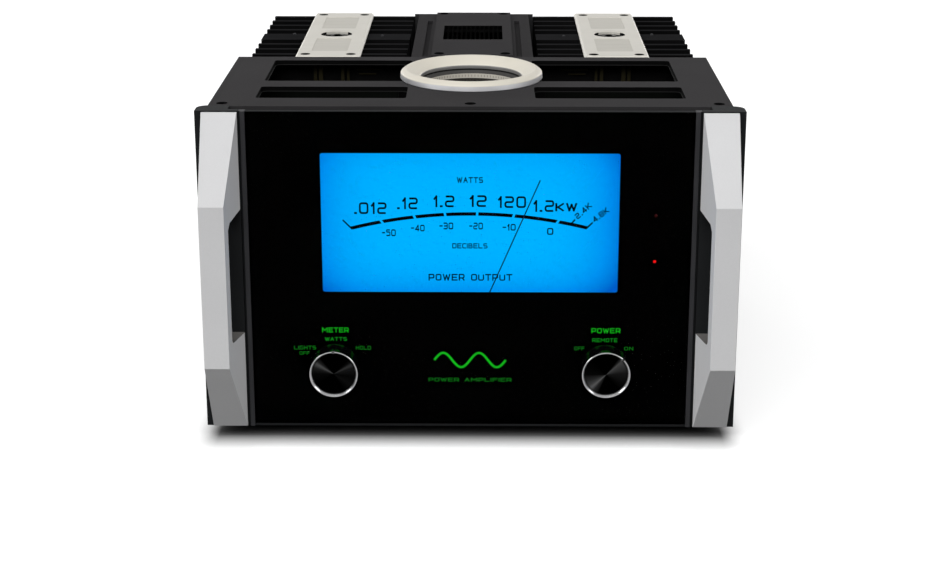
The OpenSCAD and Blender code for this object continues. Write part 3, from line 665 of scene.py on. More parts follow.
class Desk:
    """Adds and links the nodes of one tree."""

    def __init__(self, tree: bpy.types.NodeTree) -> None:
        """Take a tree and empty it."""
        self.tree = tree
        tree.nodes.clear()

    def add(self, kind: str, **inputs: object) -> bpy.types.Node:
        """Add a node and set its sockets or properties.

        Args:
            kind: Node type without its ShaderNode prefix, or a full type name.
            inputs: Properties of the node by name, or sockets with spaces as underscores.

        Returns:
            The node.
        """
        node = self.tree.nodes.new(kind if kind.startswith("Node") else "ShaderNode" + kind)
        self.put(node, **inputs)
        return node

    @staticmethod
    def put(node: bpy.types.Node, **inputs: object) -> None:
        """Set a node's sockets or properties.

        Args:
            node: The node.
            inputs: Properties by name, or sockets with spaces as underscores.
        """
        for key, value in inputs.items():
            if hasattr(node, key):
                setattr(node, key, value)
            else:
                node.inputs[key.replace("_", " ")].default_value = value

    def link(self, start: Socket, end: Socket) -> None:
        """Join an output to an input."""
        self.tree.links.new(start, end)

    def place(self, **inputs: object) -> bpy.types.Node:
        """Add a mapping of the object's own coordinates.

        Args:
            inputs: Sockets of the mapping.

        Returns:
            The mapping.
        """
        shift = self.add("Mapping", **inputs)
        self.link(self.add("TexCoord").outputs["Object"], shift.inputs["Vector"])
        return shift

    def blend(self, share: Socket, first: Sequence[float], second: Sequence[float]) -> Socket:
        """Mix two linear colours.

        Args:
            share: How much of the second there is.
            first: The first colour.
            second: The second colour.

        Returns:
            The mixed colour.
        """
        mix = self.add("Mix", data_type="RGBA")
        colours = [socket for socket in mix.inputs if socket.type == "RGBA"]
        colours[0].default_value = (*first[:3], 1.0)
        colours[1].default_value = (*second[:3], 1.0)
        self.link(share, mix.inputs["Factor"])
        return [socket for socket in mix.outputs if socket.type == "RGBA"][0]

    def math(self, operation: str, *values: object) -> Socket:
        """Add a math node.

        Args:
            operation: What it does.
            values: Its sockets or numbers.

        Returns:
            Its output.
        """
        node = self.add("Math", operation=operation)
        for socket, value in zip(node.inputs, values):
            if isinstance(value, Socket):
                self.link(value, socket)
            else:
                socket.default_value = value
        return node.outputs[0]

    def stretch(self, value: Socket, **span: float) -> Socket:
        """Map one range of a value to another.

        Args:
            value: The value.
            span: Ends of the two ranges, where they aren't 0 and 1.

        Returns:
            The mapped value.
        """
        node = self.add("MapRange", **span)
        self.link(value, node.inputs["Value"])
        return node.outputs["Result"]


def new_material(name: str, **inputs: object) -> tuple[bpy.types.Material, Desk, bpy.types.Node]:
    """Start a material with one principled shader.

    Args:
        name: Name of the material.
        inputs: Sockets of the shader.

    Returns:
        The material, a desk on its nodes and the shader.
    """
    made = bpy.data.materials.new(name)
    made.use_nodes = True
    desk = Desk(made.node_tree)
    shader = desk.add("BsdfPrincipled", **inputs)
    desk.link(shader.outputs[0], desk.add("OutputMaterial").inputs["Surface"])
    return made, desk, shader


def grain_group(turned: bool) -> bpy.types.NodeTree:
    """Node group that puts out a fine grain and a broad cloud, made at its first use.

    Args:
        turned: Rings as a lathe leaves them, or the grain of a blasted or brushed surface.

    Returns:
        The group.
    """
    name = "turned_rings" if turned else "surface_grain"
    tree = bpy.data.node_groups.get(name)
    if tree:
        return tree
    tree = bpy.data.node_groups.new(name, "ShaderNodeTree")
    for label, kind in (("Vector", "Vector"), ("Stretch", "Vector"), ("Scale", "Float")):
        tree.interface.new_socket(label, in_out="INPUT", socket_type="NodeSocket" + kind)
    for label in ("Grain", "Cloud"):
        tree.interface.new_socket(label, in_out="OUTPUT", socket_type="NodeSocketFloat")
    desk = Desk(tree)
    given, out = desk.add("NodeGroupInput"), desk.add("NodeGroupOutput")
    drawn = desk.add("VectorMath", operation="MULTIPLY")
    desk.link(given.outputs["Vector"], drawn.inputs[0])
    desk.link(given.outputs["Stretch"], drawn.inputs[1])
    if turned:
        radius = desk.add("VectorMath", operation="LENGTH")
        desk.link(drawn.outputs[0], radius.inputs[0])
        fine = desk.add("TexNoise", noise_dimensions="1D", Detail=2.0)
        desk.link(radius.outputs["Value"], fine.inputs["W"])
    else:
        fine = desk.add("TexNoise", Detail=3.0)
        desk.link(drawn.outputs[0], fine.inputs["Vector"])
    desk.link(given.outputs["Scale"], fine.inputs["Scale"])
    broad = desk.add("TexNoise", Detail=2.0, Scale=40.0 if turned else 22.0)
    desk.link(given.outputs["Vector"], broad.inputs["Vector"])
    for noise, label in ((fine, "Grain"), (broad, "Cloud")):
        desk.link(desk.stretch(noise.outputs["Fac"], From_Min=0.3, From_Max=0.7),
                  out.inputs[label])
    return tree


@dataclass(frozen=True)
class Finish:
    """Surface of a piece.

    Attributes:
        name: Name of the material.
        slot: Material slot of the record that it belongs to; not used in this script.
        tone: Screen colour.
        other: Screen colour that the tone drifts towards.
        rough: Roughness.
        metal: Metallic share.
        specular: Specular level.
        grain: Kind of grain.
        size: Size of the grain in millimetres.
        relief: Strength of the grain's bump.
        spread: How far the roughness varies with the grain.
        centre: Middle of a turned grain, in metres.
        glow: Screen colour of its own light, if it shines.
        glow_other: Screen colour that the light drifts towards.
        painted_rays: Degrees right of upright and grey share of the rays of a sunray face, which
            are
        painted highlights in its base colour.
    """

    name: str
    slot: str
    tone: str
    other: str
    rough: float = 0.5
    metal: float = 0.0
    specular: float = 0.5
    grain: Grain = Grain.EVEN
    size: float = 0.8
    relief: float = 0.05
    spread: float = 0.06
    centre: tuple[float, float, float] = (0.0, 0.0, 0.0)
    glow: Optional[str] = None
    glow_other: Optional[str] = None
    painted_rays: Sequence[Pair] = ()

    def material(self) -> bpy.types.Material:
        """Build the material, or give the one already built.

        Returns:
            The material.
        """
        made = bpy.data.materials.get(self.name)
        if not made:
            made, desk, shader = new_material(self.name, Metallic=self.metal,
                                              Specular_IOR_Level=self.specular)
            self._nodes(desk, shader)
        return made

    def _nodes(self, desk: Desk, shader: bpy.types.Node) -> None:
        """Feed the shader.

        Args:
            desk: Desk on the material's nodes.
            shader: The shader.
        """
        shift = desk.place(Location=[-c for c in self.centre])
        texture = desk.add("Group", node_tree=grain_group(self.grain.turned),
                           Stretch=self.grain.value, Scale=1.0 / (self.size * MM))
        desk.link(shift.outputs["Vector"], texture.inputs["Vector"])
        if self.painted_rays:
            self._paint_highlight_rays(desk, shift, shader)
        else:
            self._colour(desk, texture, shader)
        rough = desk.stretch(texture.outputs["Grain"], To_Min=max(0.0, self.rough - self.spread),
                             To_Max=min(1.0, self.rough + self.spread))
        desk.link(rough, shader.inputs["Roughness"])
        bump = desk.add("Bump", Strength=self.relief, Distance=self.size * MM * BUMP_DEPTH)
        desk.link(texture.outputs["Grain"], bump.inputs["Height"])
        desk.link(bump.outputs["Normal"], shader.inputs["Normal"])

    def _paint_highlight_rays(self, desk: Desk, shift: bpy.types.Node, shader: bpy.types.Node) -> None:
        """Feed the base colour from the angle about Y: painted highlight rays, as on a sunray
        face.

        Args:
            desk: Desk on the material's nodes.
            shift: Mapping about the face's middle.
            shader: The shader.
        """
        turn = desk.add("Mapping", Rotation=(-math.pi / 2, 0, 0))
        desk.link(shift.outputs["Vector"], turn.inputs["Vector"])
        angle = desk.add("TexGradient", gradient_type="RADIAL")
        desk.link(turn.outputs["Vector"], angle.inputs["Vector"])
        ramp = desk.add("ValToRGB")
        stops = ramp.color_ramp.elements
        stops[0].position, stops[1].position = 0.0, 1.0
        for stop in stops:
            stop.color = linear(self.tone)
        # Each ray is a stop of painted highlight in the base colour's ramp.
        for degrees, grey in self.painted_rays:
            stops.new((270 - degrees) / 360 % 1).color = (grey, grey, grey, 1.0)
        desk.link(angle.outputs["Color"], ramp.inputs["Fac"])
        desk.link(ramp.outputs["Color"], shader.inputs["Base Color"])

    def _colour(self, desk: Desk, texture: bpy.types.Node, shader: bpy.types.Node) -> None:
        """Feed the base colour, and the light if it shines, from the drift of the texture.

        Args:
            desk: Desk on the material's nodes.
            texture: The grain's group.
            shader: The shader.
        """
        share = desk.math("MULTIPLY_ADD", texture.outputs["Grain"], 0.5,
                          desk.math("MULTIPLY", texture.outputs["Cloud"], 0.5))
        pairs = [(self.tone, self.other, "Base Color")]
        if self.glow:
            pairs.append((self.glow, self.glow_other or self.glow, "Emission Color"))
            desk.put(shader, Emission_Strength=1.0)
        for first, second, socket in pairs:
            desk.link(desk.blend(share, linear(first), linear(second)), shader.inputs[socket])


@dataclass(frozen=True)
class ClearSheet(Finish):
    """Clear glass with the faint unevenness of a wiped sheet."""

    def _nodes(self, desk: Desk, shader: bpy.types.Node) -> None:
        """Feed the shader.

        Args:
            desk: Desk on the material's nodes.
            shader: The shader.
        """
        desk.put(shader, IOR=1.02, Transmission_Weight=1.0, Base_Color=linear(self.tone))
        texture = desk.add("Group", node_tree=grain_group(False), Stretch=self.grain.value,
                           Scale=1.0 / (self.size * MM))
        desk.link(desk.place().outputs["Vector"], texture.inputs["Vector"])
        desk.link(desk.stretch(texture.outputs["Cloud"], To_Max=self.spread),
                  shader.inputs["Roughness"])


@dataclass(frozen=True)
class BacklitSheet(Finish):
    """Blue sheet lit from behind, paler in the middle and deeper towards its edges.

    Attributes:
        middle: X and Z of its palest place.
        half: Half its width and half its height.
        powers: How late the light falls off, across and up.
        falls: How far the light falls off, across and up.
        light: Linear colours of the light in the middle, between and at the edges.
    """

    middle: Pair = (-4.0, 181.0)
    half: Pair = (122.3, 59.5)
    powers: Pair = (5.0, 4.0)
    falls: Pair = (0.6, 0.32)
    light: Sequence[tuple[float, float, float, float]] = (
        (0.0, 0.434, 1.0, 1.0), (0.0, 0.27, 0.84, 1.0), (0.0, 0.1, 0.54, 1.0))

    def _nodes(self, desk: Desk, shader: bpy.types.Node) -> None:
        """Feed the shader.

        Args:
            desk: Desk on the material's nodes.
            shader: The shader.
        """
        desk.put(shader, Roughness=self.rough, Base_Color=(0.0, 0.008, 0.02, 1.0),
                 Emission_Strength=1.0)
        middle = at(self.middle[0], 0, self.middle[1])
        wide, high = (half * MM for half in self.half)
        shift = desk.place(Location=(-middle.x / wide, 0, -middle.z / high),
                           Scale=(1 / wide, 0, 1 / high))
        split = desk.add("SeparateXYZ")
        desk.link(shift.outputs["Vector"], split.inputs[0])
        across, up = (desk.math("POWER", desk.math("ABSOLUTE", split.outputs[axis]), power)
                      for axis, power in zip("XZ", self.powers))
        share = desk.math("MULTIPLY_ADD", across, self.falls[0],
                          desk.math("MULTIPLY", up, self.falls[1]))
        ramp = desk.add("ValToRGB")
        stops = ramp.color_ramp.elements
        stops[0].color, stops[1].color = self.light[0], self.light[2]
        stops.new(0.5).color = self.light[1]
        desk.link(share, ramp.inputs["Fac"])
        desk.link(ramp.outputs["Color"], shader.inputs["Emission Color"])


RING_MIDDLE = tuple(at(0, RING_Y, 0))

# Front.
HANDLE = Finish("blasted_aluminium", "satin_silver", "c9c9ca", "c4c4c5", 0.6, 0.0, 0.1,
                size=1.2, relief=0.03)
# Same aluminium as the handle, toned dark on its ledge as painted shade.
LEDGE_SHADE = replace(HANDLE, name="ledge_painted_shade", tone="605e5c", other="5a5856")
FRAME = Finish("frame_anodised", "frame_black", "191a1b", "1e1f20", 0.5, 0.0, 0.02, size=0.7)
STRIP = Finish("strip_brushed", "strip_grey", "2a2a2c", "333335", 0.5, 0.3, 0.05,
               Grain.ALONG_Z, 0.5)
GLASS = ClearSheet("clear_sheet", "clear_glass", "ffffff", "ffffff", grain=Grain.ALONG_X,
                   size=10 / 3, spread=0.001)
MASK = Finish("mask_paint", "mask_black", "000000", "010101", 0.9, 0.0, 0.0)
GROUND = Finish("ground_edge", "clear_glass", "18191a", "1d1e1f", 0.6, 0.0, 0.02,
                Grain.ALONG_X, 0.6)
BRIGHT_GREEN = replace(MASK, name="word_bright", glow="14b41c", glow_other="12a619")
SOFT_GREEN = replace(MASK, name="word_soft", glow="128c1e", glow_other="10801b")
DIM_GREEN = replace(MASK, name="word_dim", glow="107018", glow_other="0e6615")
DIAL = BacklitSheet("dial_sheet", "dial_blue", "000000", "000000", 0.8, 0.0, 0.0)
PRINT = Finish("dial_print", "needle_black", "010208", "03040c", 0.9, 0.0, 0.0)
NEEDLE = Finish("needle_paint", "needle_black", "020a1c", "040d20", 0.7, 0.0, 0.02)
RIM = Finish("rim_polished", "rim_chrome", "9e9e9f", "969697", 0.19, 1.0, 0.5, spread=0.03,
             relief=0.01, size=0.4)
KNOB_SIDE = Finish("knob_gloss", "knob_black", "030304", "050506", 0.06, 0.0, 1.0, spread=0.03,
                   relief=0.0)
LED_LIT = Finish("led_lit", "led_red", "200000", "240202", 0.4, 0.0, 0.02, glow="f01010",
                 glow_other="dc0c0c")
LED_DARK = Finish("led_dark", "led_red", "140203", "180304", 0.4, 0.0, 0.02, glow="2c0506",
                  glow_other="240405")

# Top and heat sinks.
PLATE = Finish("plate_powder", "plate_grey", "292829", "2f2e2f", 0.8, 0.0, 0.04,
               size=0.9, relief=0.12)
# Slot and pocket walls, and the beads at their foot, darker than the plate as painted shade.
SLOT_WALL_SHADE = Finish("slot_wall_painted_shade", "plate_grey", "050505", "080808", 0.8, 0.0, 0.02, size=0.9)
SLOT_BEAD_SHADE = Finish("slot_bead", "plate_grey", "121212", "171717", 0.7, 0.0, 0.05, size=0.9)
TOWER = Finish("tower_powder", "plate_grey", "252425", "2b2a2b", 0.8, 0.0, 0.02,
               size=0.9, relief=0.12)
LID = Finish("lid_powder", "plate_grey", "2b2a2b", "313031", 0.8, 0.0, 0.02, size=0.9, relief=0.1)
VENT = Finish("vent_bars", "plate_grey", "060606", "0a0a0a", 0.8, 0.0, 0.0, size=0.9)
RING = Finish("ring_satin", "ring_cream", "ccc7bb", "c6c1b5", 0.5, 0.1, 0.3, Grain.ROUND_Z, 0.5,
              0.02, centre=RING_MIDDLE)
# The outer wall is the same metal as the funnel, toned cool silver as painted reflection.
RING_WALL_REFLECTION = Finish("ring_wall", "ring_cream", "b9b9bb", "c2c2c4", 0.38, 1.0, 0.5, Grain.ALONG_Z,
                   0.5, 0.02)
# The bore darker than the funnel, and the neck below darker still, as painted shade.
RING_BORE_SHADE = Finish("ring_bore", "ring_cream", "6e6d6c", "7a7978", 0.4, 0.3, 0.2, Grain.ROUND_Z,
                   0.5, 0.02, centre=RING_MIDDLE)
NECK_SHADE = Finish("neck_shade", "ring_cream", "161616", "1d1d1d", 0.6, 0.0, 0.05)
SLEEVE = replace(RING, name="sleeve_satin", slot="sleeve_silver", tone="b9b4aa", other="aea99f")
# The sleeve's bevel in the throat, toned dark as painted shade.
SLEEVE_BEVEL_SHADE = Finish("sleeve_bevel_shade", "sleeve_silver", "343332", "3e3d3c", 0.6, 0.0, 0.1)
TICK = Finish("tick_print", "sleeve_silver", "77736b", "827e76", 0.6)
LENS = Finish("lens_gloss", "lens_black", "020203", "050506", 0.12, 0.0, 0.005, spread=0.03,
              relief=0.0)
# The fins' anodised black, darkened and without gloss as painted shade between them.
SINK_SHADED = Finish("sink_anodised_shaded", "sink_black", "0a0a0b", "101010", 0.7, 0.0, 0.0,
              Grain.ALONG_Z, 0.6)
SINK_FACE = Finish("sink_face", "sink_black", "19191b", "1f1f21", 0.45, 0.0, 0.3, Grain.ALONG_Z,
                   0.6)
# Tops of the fins, the same black toned lighter as painted light.
FIN_TOP_LIT = Finish("fin_top_lit", "sink_black", "1d1d1e", "242425", 0.7, 0.0, 0.0, Grain.ALONG_X, 0.6)
# Mouth of the chimney, bare metal toned light grey as painted light on its lit top.
SINK_BORE = Finish("sink_bore", "cap_silver", "8d8c89", "9a9996", 0.6, 0.2, 0.2, Grain.ALONG_Z,
                   0.6)
PIN = Finish("pin_steel", "socket_nickel", "29292b", "333335", 0.6, 0.1, 0.05)
CAP = Finish("cap_satin", "cap_silver", "c1beb6", "bab7af", 0.5, 0.3, 0.4, Grain.ALONG_X, 0.7,
             0.03)
CAP_POCKET = Finish("cap_pocket", "cap_silver", "b1aea6", "a9a69e", 0.55, 0.3, 0.4,
                    Grain.ALONG_X, 0.9, 0.08)

# Chassis, rear and inside.
CHASSIS = Finish("chassis_powder", "chassis_black", "141415", "1a1a1c", 0.62, 0.0, 0.3,
                 size=0.9, relief=0.12)
# Inner wall darker than the chassis, near black as painted shade inside the case.
INNER_SHADE = Finish("inner_wall_paint_shaded", "chassis_black", "0c0c0c", "111111", 0.8, 0.0, 0.0, size=0.9)
SCREW = Finish("screw_black", "black_steel", "080808", "0d0d0e", 0.6, 0.0, 0.0, size=0.4)
RUBBER = Finish("foot_moulded", "foot_rubber", "0a0a0a", "111111", 0.8, 0.0, 0.2, size=0.6,
                relief=0.1)
SHAFT = Finish("shaft_turned", "shaft_steel", "9a9a9c", "8b8b8d", 0.35, 1.0, 0.5, Grain.ALONG_Y)
SWITCH = Finish("switch_moulded", "switch_grey", "3f4044", "47484c", 0.6)
# Boards near black as painted shade inside the case.
BOARD_SHADE = Finish("board_lacquer_shaded", "board_green", "060806", "090b09", 0.6, 0.0, 0.02, size=2.5,
               relief=0.1)
WHITE_BOX = Finish("box_moulded", "box_white", "d5dbdf", "cdd3d7", 0.7)
BLACK_PLASTIC = Finish("black_moulded", "black_plastic", "111113", "19191b", 0.5, size=0.6)
MAGNET = Finish("magnet_cast", "magnet_grey", "57585c", "626367", 0.55, 0.6, size=1.5, relief=0.2)
BRASS = Finish("brass_drawn", "bridge_brass", "a67c33", "b48a3e", 0.3, 1.0, 0.5, Grain.ALONG_X)
COPPER = Finish("coil_wire", "coil_copper", "8f4a22", "a85a2c", 0.35, 0.9, 0.5, Grain.ALONG_Y,
                0.5, 0.3)
GOLD = Finish("gold_plate", "post_gold", "c79a3c", "d0a548", 0.22, 1.0, 0.5, size=0.5, relief=0.02)
NICKEL = Finish("nickel_plate", "socket_nickel", "a7a8ab", "9c9da0", 0.3, 0.9, 0.5)
SLIDER = Finish("slider_moulded", "slider_white", "dcdcdc", "d2d2d2", 0.5)
LEGEND = Finish("legend_paint", "slider_white", "c9c9c9", "bcbcbc", 0.6)
RED_RING = Finish("ring_red", "led_red", "8e1414", "9b1a1a", 0.4)
BLACK_RING = Finish("ring_black", "black_plastic", "0d0d0e", "151516", 0.4)
# Amber tape darkened as painted shade inside the case.
WINDING_SHADED = Finish("winding_tape_shaded", "winding_amber", "20160a", "2a1d0d", 0.5, 0.0, 0.05,
                 Grain.ALONG_Z, 1.6, 0.5)
FILM_CAP = Finish("film_case", "winding_amber", "1c1a10", "232014", 0.7, 0.0, 0.02)
CAN = Finish("can_sleeve", "can_blue", "123a66", "17436f", 0.35, 0.0, 0.5, size=2.0)
POTTED = Finish("potted_case", "potted_black", "151618", "1d1e21", 0.5, size=1.2, relief=0.2)


def dress(finish: Finish, *nodes: str) -> None:
    """Give solids that stay as they are their finish.

    Args:
        finish: The finish.
        nodes: Names of the solids.
    """
    for node in nodes:
        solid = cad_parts[node]
        if not solid.material_slots:
            solid.data.materials.append(finish.material())
        for slot in solid.material_slots:
            slot.material = finish.material()
        LOG.info("%s: %s", node, finish.name)


def keep(piece: Piece, finish: Finish, body: str = MAIN, stands_for: Sequence[str] = ()) -> Piece:
    """Finish a new piece and tie it to a body.

    Args:
        piece: The piece, with its mesh done.
        finish: Its main finish, which is already there on a piece that has several.
        body: The body that it moves with.
        stands_for: Solids that it takes the place of.

    Returns:
        The piece.
    """
    if not piece.data.materials:
        piece.data.materials.append(finish.material())
    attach(piece, body)
    if stands_for:
        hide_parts(*stands_for)
    LOG.info("%s: %s on %s, %d faces", piece.name, finish.name, body, len(piece.data.polygons))
    return piece


def paint(piece: Piece, finishes: Sequence[Finish], choose: Callable[[Face], int]) -> None:
    """Give each face of a piece one of several finishes.

    Args:
        piece: The piece.
        finishes: Its finishes, the main one first.
        choose: Gives the number of a face's finish, or whether it has the second.
    """
    for finish in finishes:
        piece.data.materials.append(finish.material())
    for face in piece.data.polygons:
        face.material_index = int(choose(face))


def refine(node: str, finish: Finish, width: float, body: str = MAIN, segments: int = 2,
           angle: float = SHARP, others: Sequence[Finish] = (),
           choose: Optional[Callable[[Face], int]] = None,
           shape: Optional[Callable[[Piece], None]] = None) -> None:
    """Stand a soft-edged copy in for a solid.

    Args:
        node: The solid.
        finish: Main finish of the copy.
        width: Width of the edges' rounding in millimetres.
        body: The body that it moves with.
        segments: Faces across the rounding.
        angle: Edges sharper than this, in degrees, are rounded.
        others: Finishes of some of its faces.
        choose: Gives the number of a face's finish.
        shape: Works on the copy before its edges are rounded.
    """
    piece = copy_node(node)
    if shape:
        shape(piece)
    soften(piece, width, segments, angle)
    if choose:
        paint(piece, (finish, *others), choose)
    keep(piece, finish, body, [node])


# Studio


@dataclass(frozen=True)
class Lamp:
    """Broad far light.

    Attributes:
        name: Name of the lamp.
        strength: Its strength.
        height: Its height above the horizon, in degrees.
        left: How far left of the front it stands, in degrees.
        spread: Its width as seen from the amplifier, in degrees.
        far: Distance that it hangs at, in metres.
    """

    name: str
    strength: float
    height: float
    left: float
    spread: float
    far: float = 3.0

    def hang(self) -> None:
        """Hang the lamp and point it at the amplifier."""
        high, left = math.radians(self.height), math.radians(self.left)
        toward = Vector((-math.sin(left) * math.cos(high), -math.cos(left) * math.cos(high),
                         math.sin(high)))
        pick()
        bpy.ops.object.light_add(type="SUN", location=toward * self.far)
        lamp = bpy.context.object
        lamp.name = self.name
        lamp.rotation_euler = toward.to_track_quat("Z", "Y").to_euler()
        lamp.data.energy = self.strength
        lamp.data.angle = math.radians(self.spread)


@dataclass
class Studio:
    """Camera, light and floor.

    Attributes:
        eye: Camera in the panel's frame, in millimetres.
        pitch: Camera's tilt below the horizon, in degrees.
        yaw: Camera's turn to the left, in degrees.
        sensor: Width of the camera's sensor.
        focal: Focal length in picture widths.
        drop: Lens shift in picture widths.
        lamps: The lights.
        fill: Grey of the surroundings as a source of light.
        floor_size: Width of the floor, in metres.
        floor_glow: How strongly the open floor shines.
        bounce: Grey of the floor as a source of light.
        shadow_reach: How far the shadow at the foot of the amplifier reaches, in metres.
        shadow_depth: How dark that shadow gets, as a power of the open share.
        shadow_side: Distances from the middle between which it goes at the sides, in metres.
        shadow_front: Distances from the middle between which it goes at the front, in metres.
    """

    eye: tuple[float, float, float] = (13.1, -1442.8, 613.1)
    pitch: float = 16.67
    yaw: float = 0.52
    sensor: float = 36.0
    focal: float = 1841.5 / 940
    drop: float = -72.5 / 940
    lamps: Sequence[Lamp] = (
        Lamp("key_lamp", 2.14, 44.0, 10.0, 40.0), Lamp("left_lamp", 1.57, 28.0, 65.0, 24.0),
        Lamp("right_lamp", 1.16, 28.0, -65.0, 24.0),
        Lamp("rear_left_lamp", 0.75, 6.0, 145.0, 24.0),
        Lamp("rear_right_lamp", 0.75, 6.0, -145.0, 24.0))
    fill: float = 0.1
    floor_size: float = 60.0
    floor_glow: float = 0.65
    bounce: float = 0.05
    shadow_reach: float = 0.031
    shadow_depth: float = 3.4
    shadow_side: Pair = (0.213, 0.236)
    shadow_front: Pair = (0.2124, 0.2475)

    def build(self) -> None:
        """Set up the whole studio."""
        scene = bpy.context.scene
        scene.view_settings.view_transform = "Standard"
        self._camera(scene)
        for lamp in self.lamps:
            lamp.hang()
        self._surroundings(scene)
        self._floor()

    def _camera(self, scene: bpy.types.Scene) -> None:
        """Stand the camera where the photograph was taken from.

        Args:
            scene: The scene to look at.
        """
        pick()
        bpy.ops.object.camera_add(
            location=at(*self.eye),
            rotation=(math.radians(90 - self.pitch), 0, math.radians(self.yaw)))
        scene.camera = bpy.context.object
        lens = scene.camera.data
        lens.sensor_fit = "HORIZONTAL"
        lens.sensor_width = self.sensor
        lens.lens = self.sensor * self.focal
        lens.shift_y = self.drop

    def _surroundings(self, scene: bpy.types.Scene) -> None:
        """Fill the surroundings with soft white.

        Args:
            scene: The scene to fill.
        """
        world = scene.world or bpy.data.worlds.new("studio")
        scene.world = world
        world.use_nodes = True
        desk = Desk(world.node_tree)
        back = desk.add("Background")
        desk.link(desk.blend(self._seen(desk), (self.fill,) * 3, WHITE), back.inputs["Color"])
        desk.link(back.outputs[0], desk.add("OutputWorld").inputs["Surface"])

    def _floor(self) -> None:
        """Lay the pale floor, white where it is open and shaded at the amplifier's foot."""
        pick()
        bpy.ops.mesh.primitive_plane_add(size=self.floor_size)
        floor = bpy.context.object
        floor.name = "floor"
        pale, desk, shader = new_material("pale_floor", Roughness=1.0, Specular_IOR_Level=0.0,
                                          Emission_Strength=self.floor_glow)
        lit = desk.math("MULTIPLY", desk.math("SUBTRACT", 1.0, self._painted_shadow(desk)),
                        self._seen(desk))
        desk.link(desk.blend(lit, (self.bounce,) * 3, MID_GREY), shader.inputs["Base Color"])
        desk.link(desk.blend(lit, BLACK, WHITE), shader.inputs["Emission Color"])
        floor.data.materials.append(pale)

    def _painted_shadow(self, desk: Desk) -> Socket:
        """Share of the floor's colour and glow that the painted contact shadow takes off.

        Args:
            desk: Desk on the floor's nodes.

        Returns:
            The share.
        """
        # Painted contact shadow: ambient occlusion to a power, faded out by place at the sides and
        # front.
        shade = desk.add("AmbientOcclusion", samples=16, Distance=self.shadow_reach)
        open_share = desk.math("POWER", shade.outputs["AO"], self.shadow_depth)
        split = desk.add("SeparateXYZ")
        desk.link(desk.add("TexCoord").outputs["Object"], split.inputs[0])
        across = desk.math("ABSOLUTE", split.outputs["X"])
        forward = desk.math("MULTIPLY", split.outputs["Y"], -1.0)
        beside, ahead = (desk.stretch(value, From_Min=near, From_Max=far) for value, (near, far)
                         in ((across, self.shadow_side), (forward, self.shadow_front)))
        return desk.math(
            "MULTIPLY", desk.math("SUBTRACT", 1.0, beside),
            desk.math("SUBTRACT", 1.0, desk.math("MAXIMUM", open_share, ahead)))

    @staticmethod
    def _seen(desk: Desk) -> Socket:
        """Share that is 1 for what is seen, mirrored or looked through, and 0 for light given.

        Args:
            desk: Desk on the nodes.

        Returns:
            The share.
        """
        path = desk.add("LightPath")
        return desk.math("MAXIMUM", path.outputs["Is Camera Ray"],
                         desk.math("MAXIMUM", path.outputs["Is Glossy Ray"],
                                   path.outputs["Is Transmission Ray"]))


# Sub-assemblies


@dataclass
class FrontPanel:
    """Frame, glass, mask, side strips and handles.

    Attributes:
        frame_edge: Rounding of the frame's edges.
        strip_edge: Rounding of the strips' edges.
        glass_edge: Width of the ground edge round the glass.
        handle_edge: Rounding of the handles' edges.
        handle_bend: Edges of a handle that bend more than this, in degrees, are rounded.
        ledge_z: Height below which a handle's faces that look up are its ledge, in painted shade.
        groove_x: X of the two sides of the groove between a strip and its handle.
        groove_y: Low and high corner of the groove, back from the glass face.
        groove_z: Low and high end of the groove.
    """

    frame_edge: float = 0.8
    strip_edge: float = 0.3
    glass_edge: float = 0.5
    handle_edge: float = 0.5
    handle_bend: float = 12.0
    ledge_z: float = 150.0
    groove_x: Pair = (185.4, 188.0)
    groove_y: Pair = (-2.0, 0.8)
    groove_z: Pair = (-1.0, 280.0)

    def build(self) -> None:
        """Dress the front."""
        refine("front_frame", FRAME, self.frame_edge, segments=3)
        refine("glass_strips", STRIP, self.strip_edge, others=[FRAME], shape=self._grooves,
               choose=lambda face: abs(spot(face).x) > self.groove_x[0] - SLACK)
        for label, _ in SIDES:
            refine(f"{label}_handle", HANDLE, self.handle_edge, segments=3,
                   angle=self.handle_bend, others=[LEDGE_SHADE],
                   choose=lambda face: face.normal.z > TOP and spot(face).z < self.ledge_z)
        dress(MASK, "glass_mask")
        dress(SCREW, "chassis_bolts")
        refine("front_glass", GLASS, self.glass_edge, segments=1, others=[MASK, GROUND],
               choose=self._glass_part)

    def _grooves(self, piece: Piece) -> None:
        """Cut the groove along each handle.

        Args:
            piece: The strips.
        """
        for _, side in SIDES:
            low, high = sorted(side * x for x in self.groove_x)
            carve(piece, cutter((low, self.groove_y[0], self.groove_z[0]),
                                (high, self.groove_y[1], self.groove_z[1])))

    @staticmethod
    def _glass_part(face: Face) -> int:
        """Number of a face's finish on the glass.

        Args:
            face: The face.

        Returns:
            0 for the clear sheet, 1 for a black edge, 2 for the ground upper edge.
        """
        if abs(face.normal.y) >= SQUARE:
            return 0
        return 2 if face.normal.z > STEEP else 1


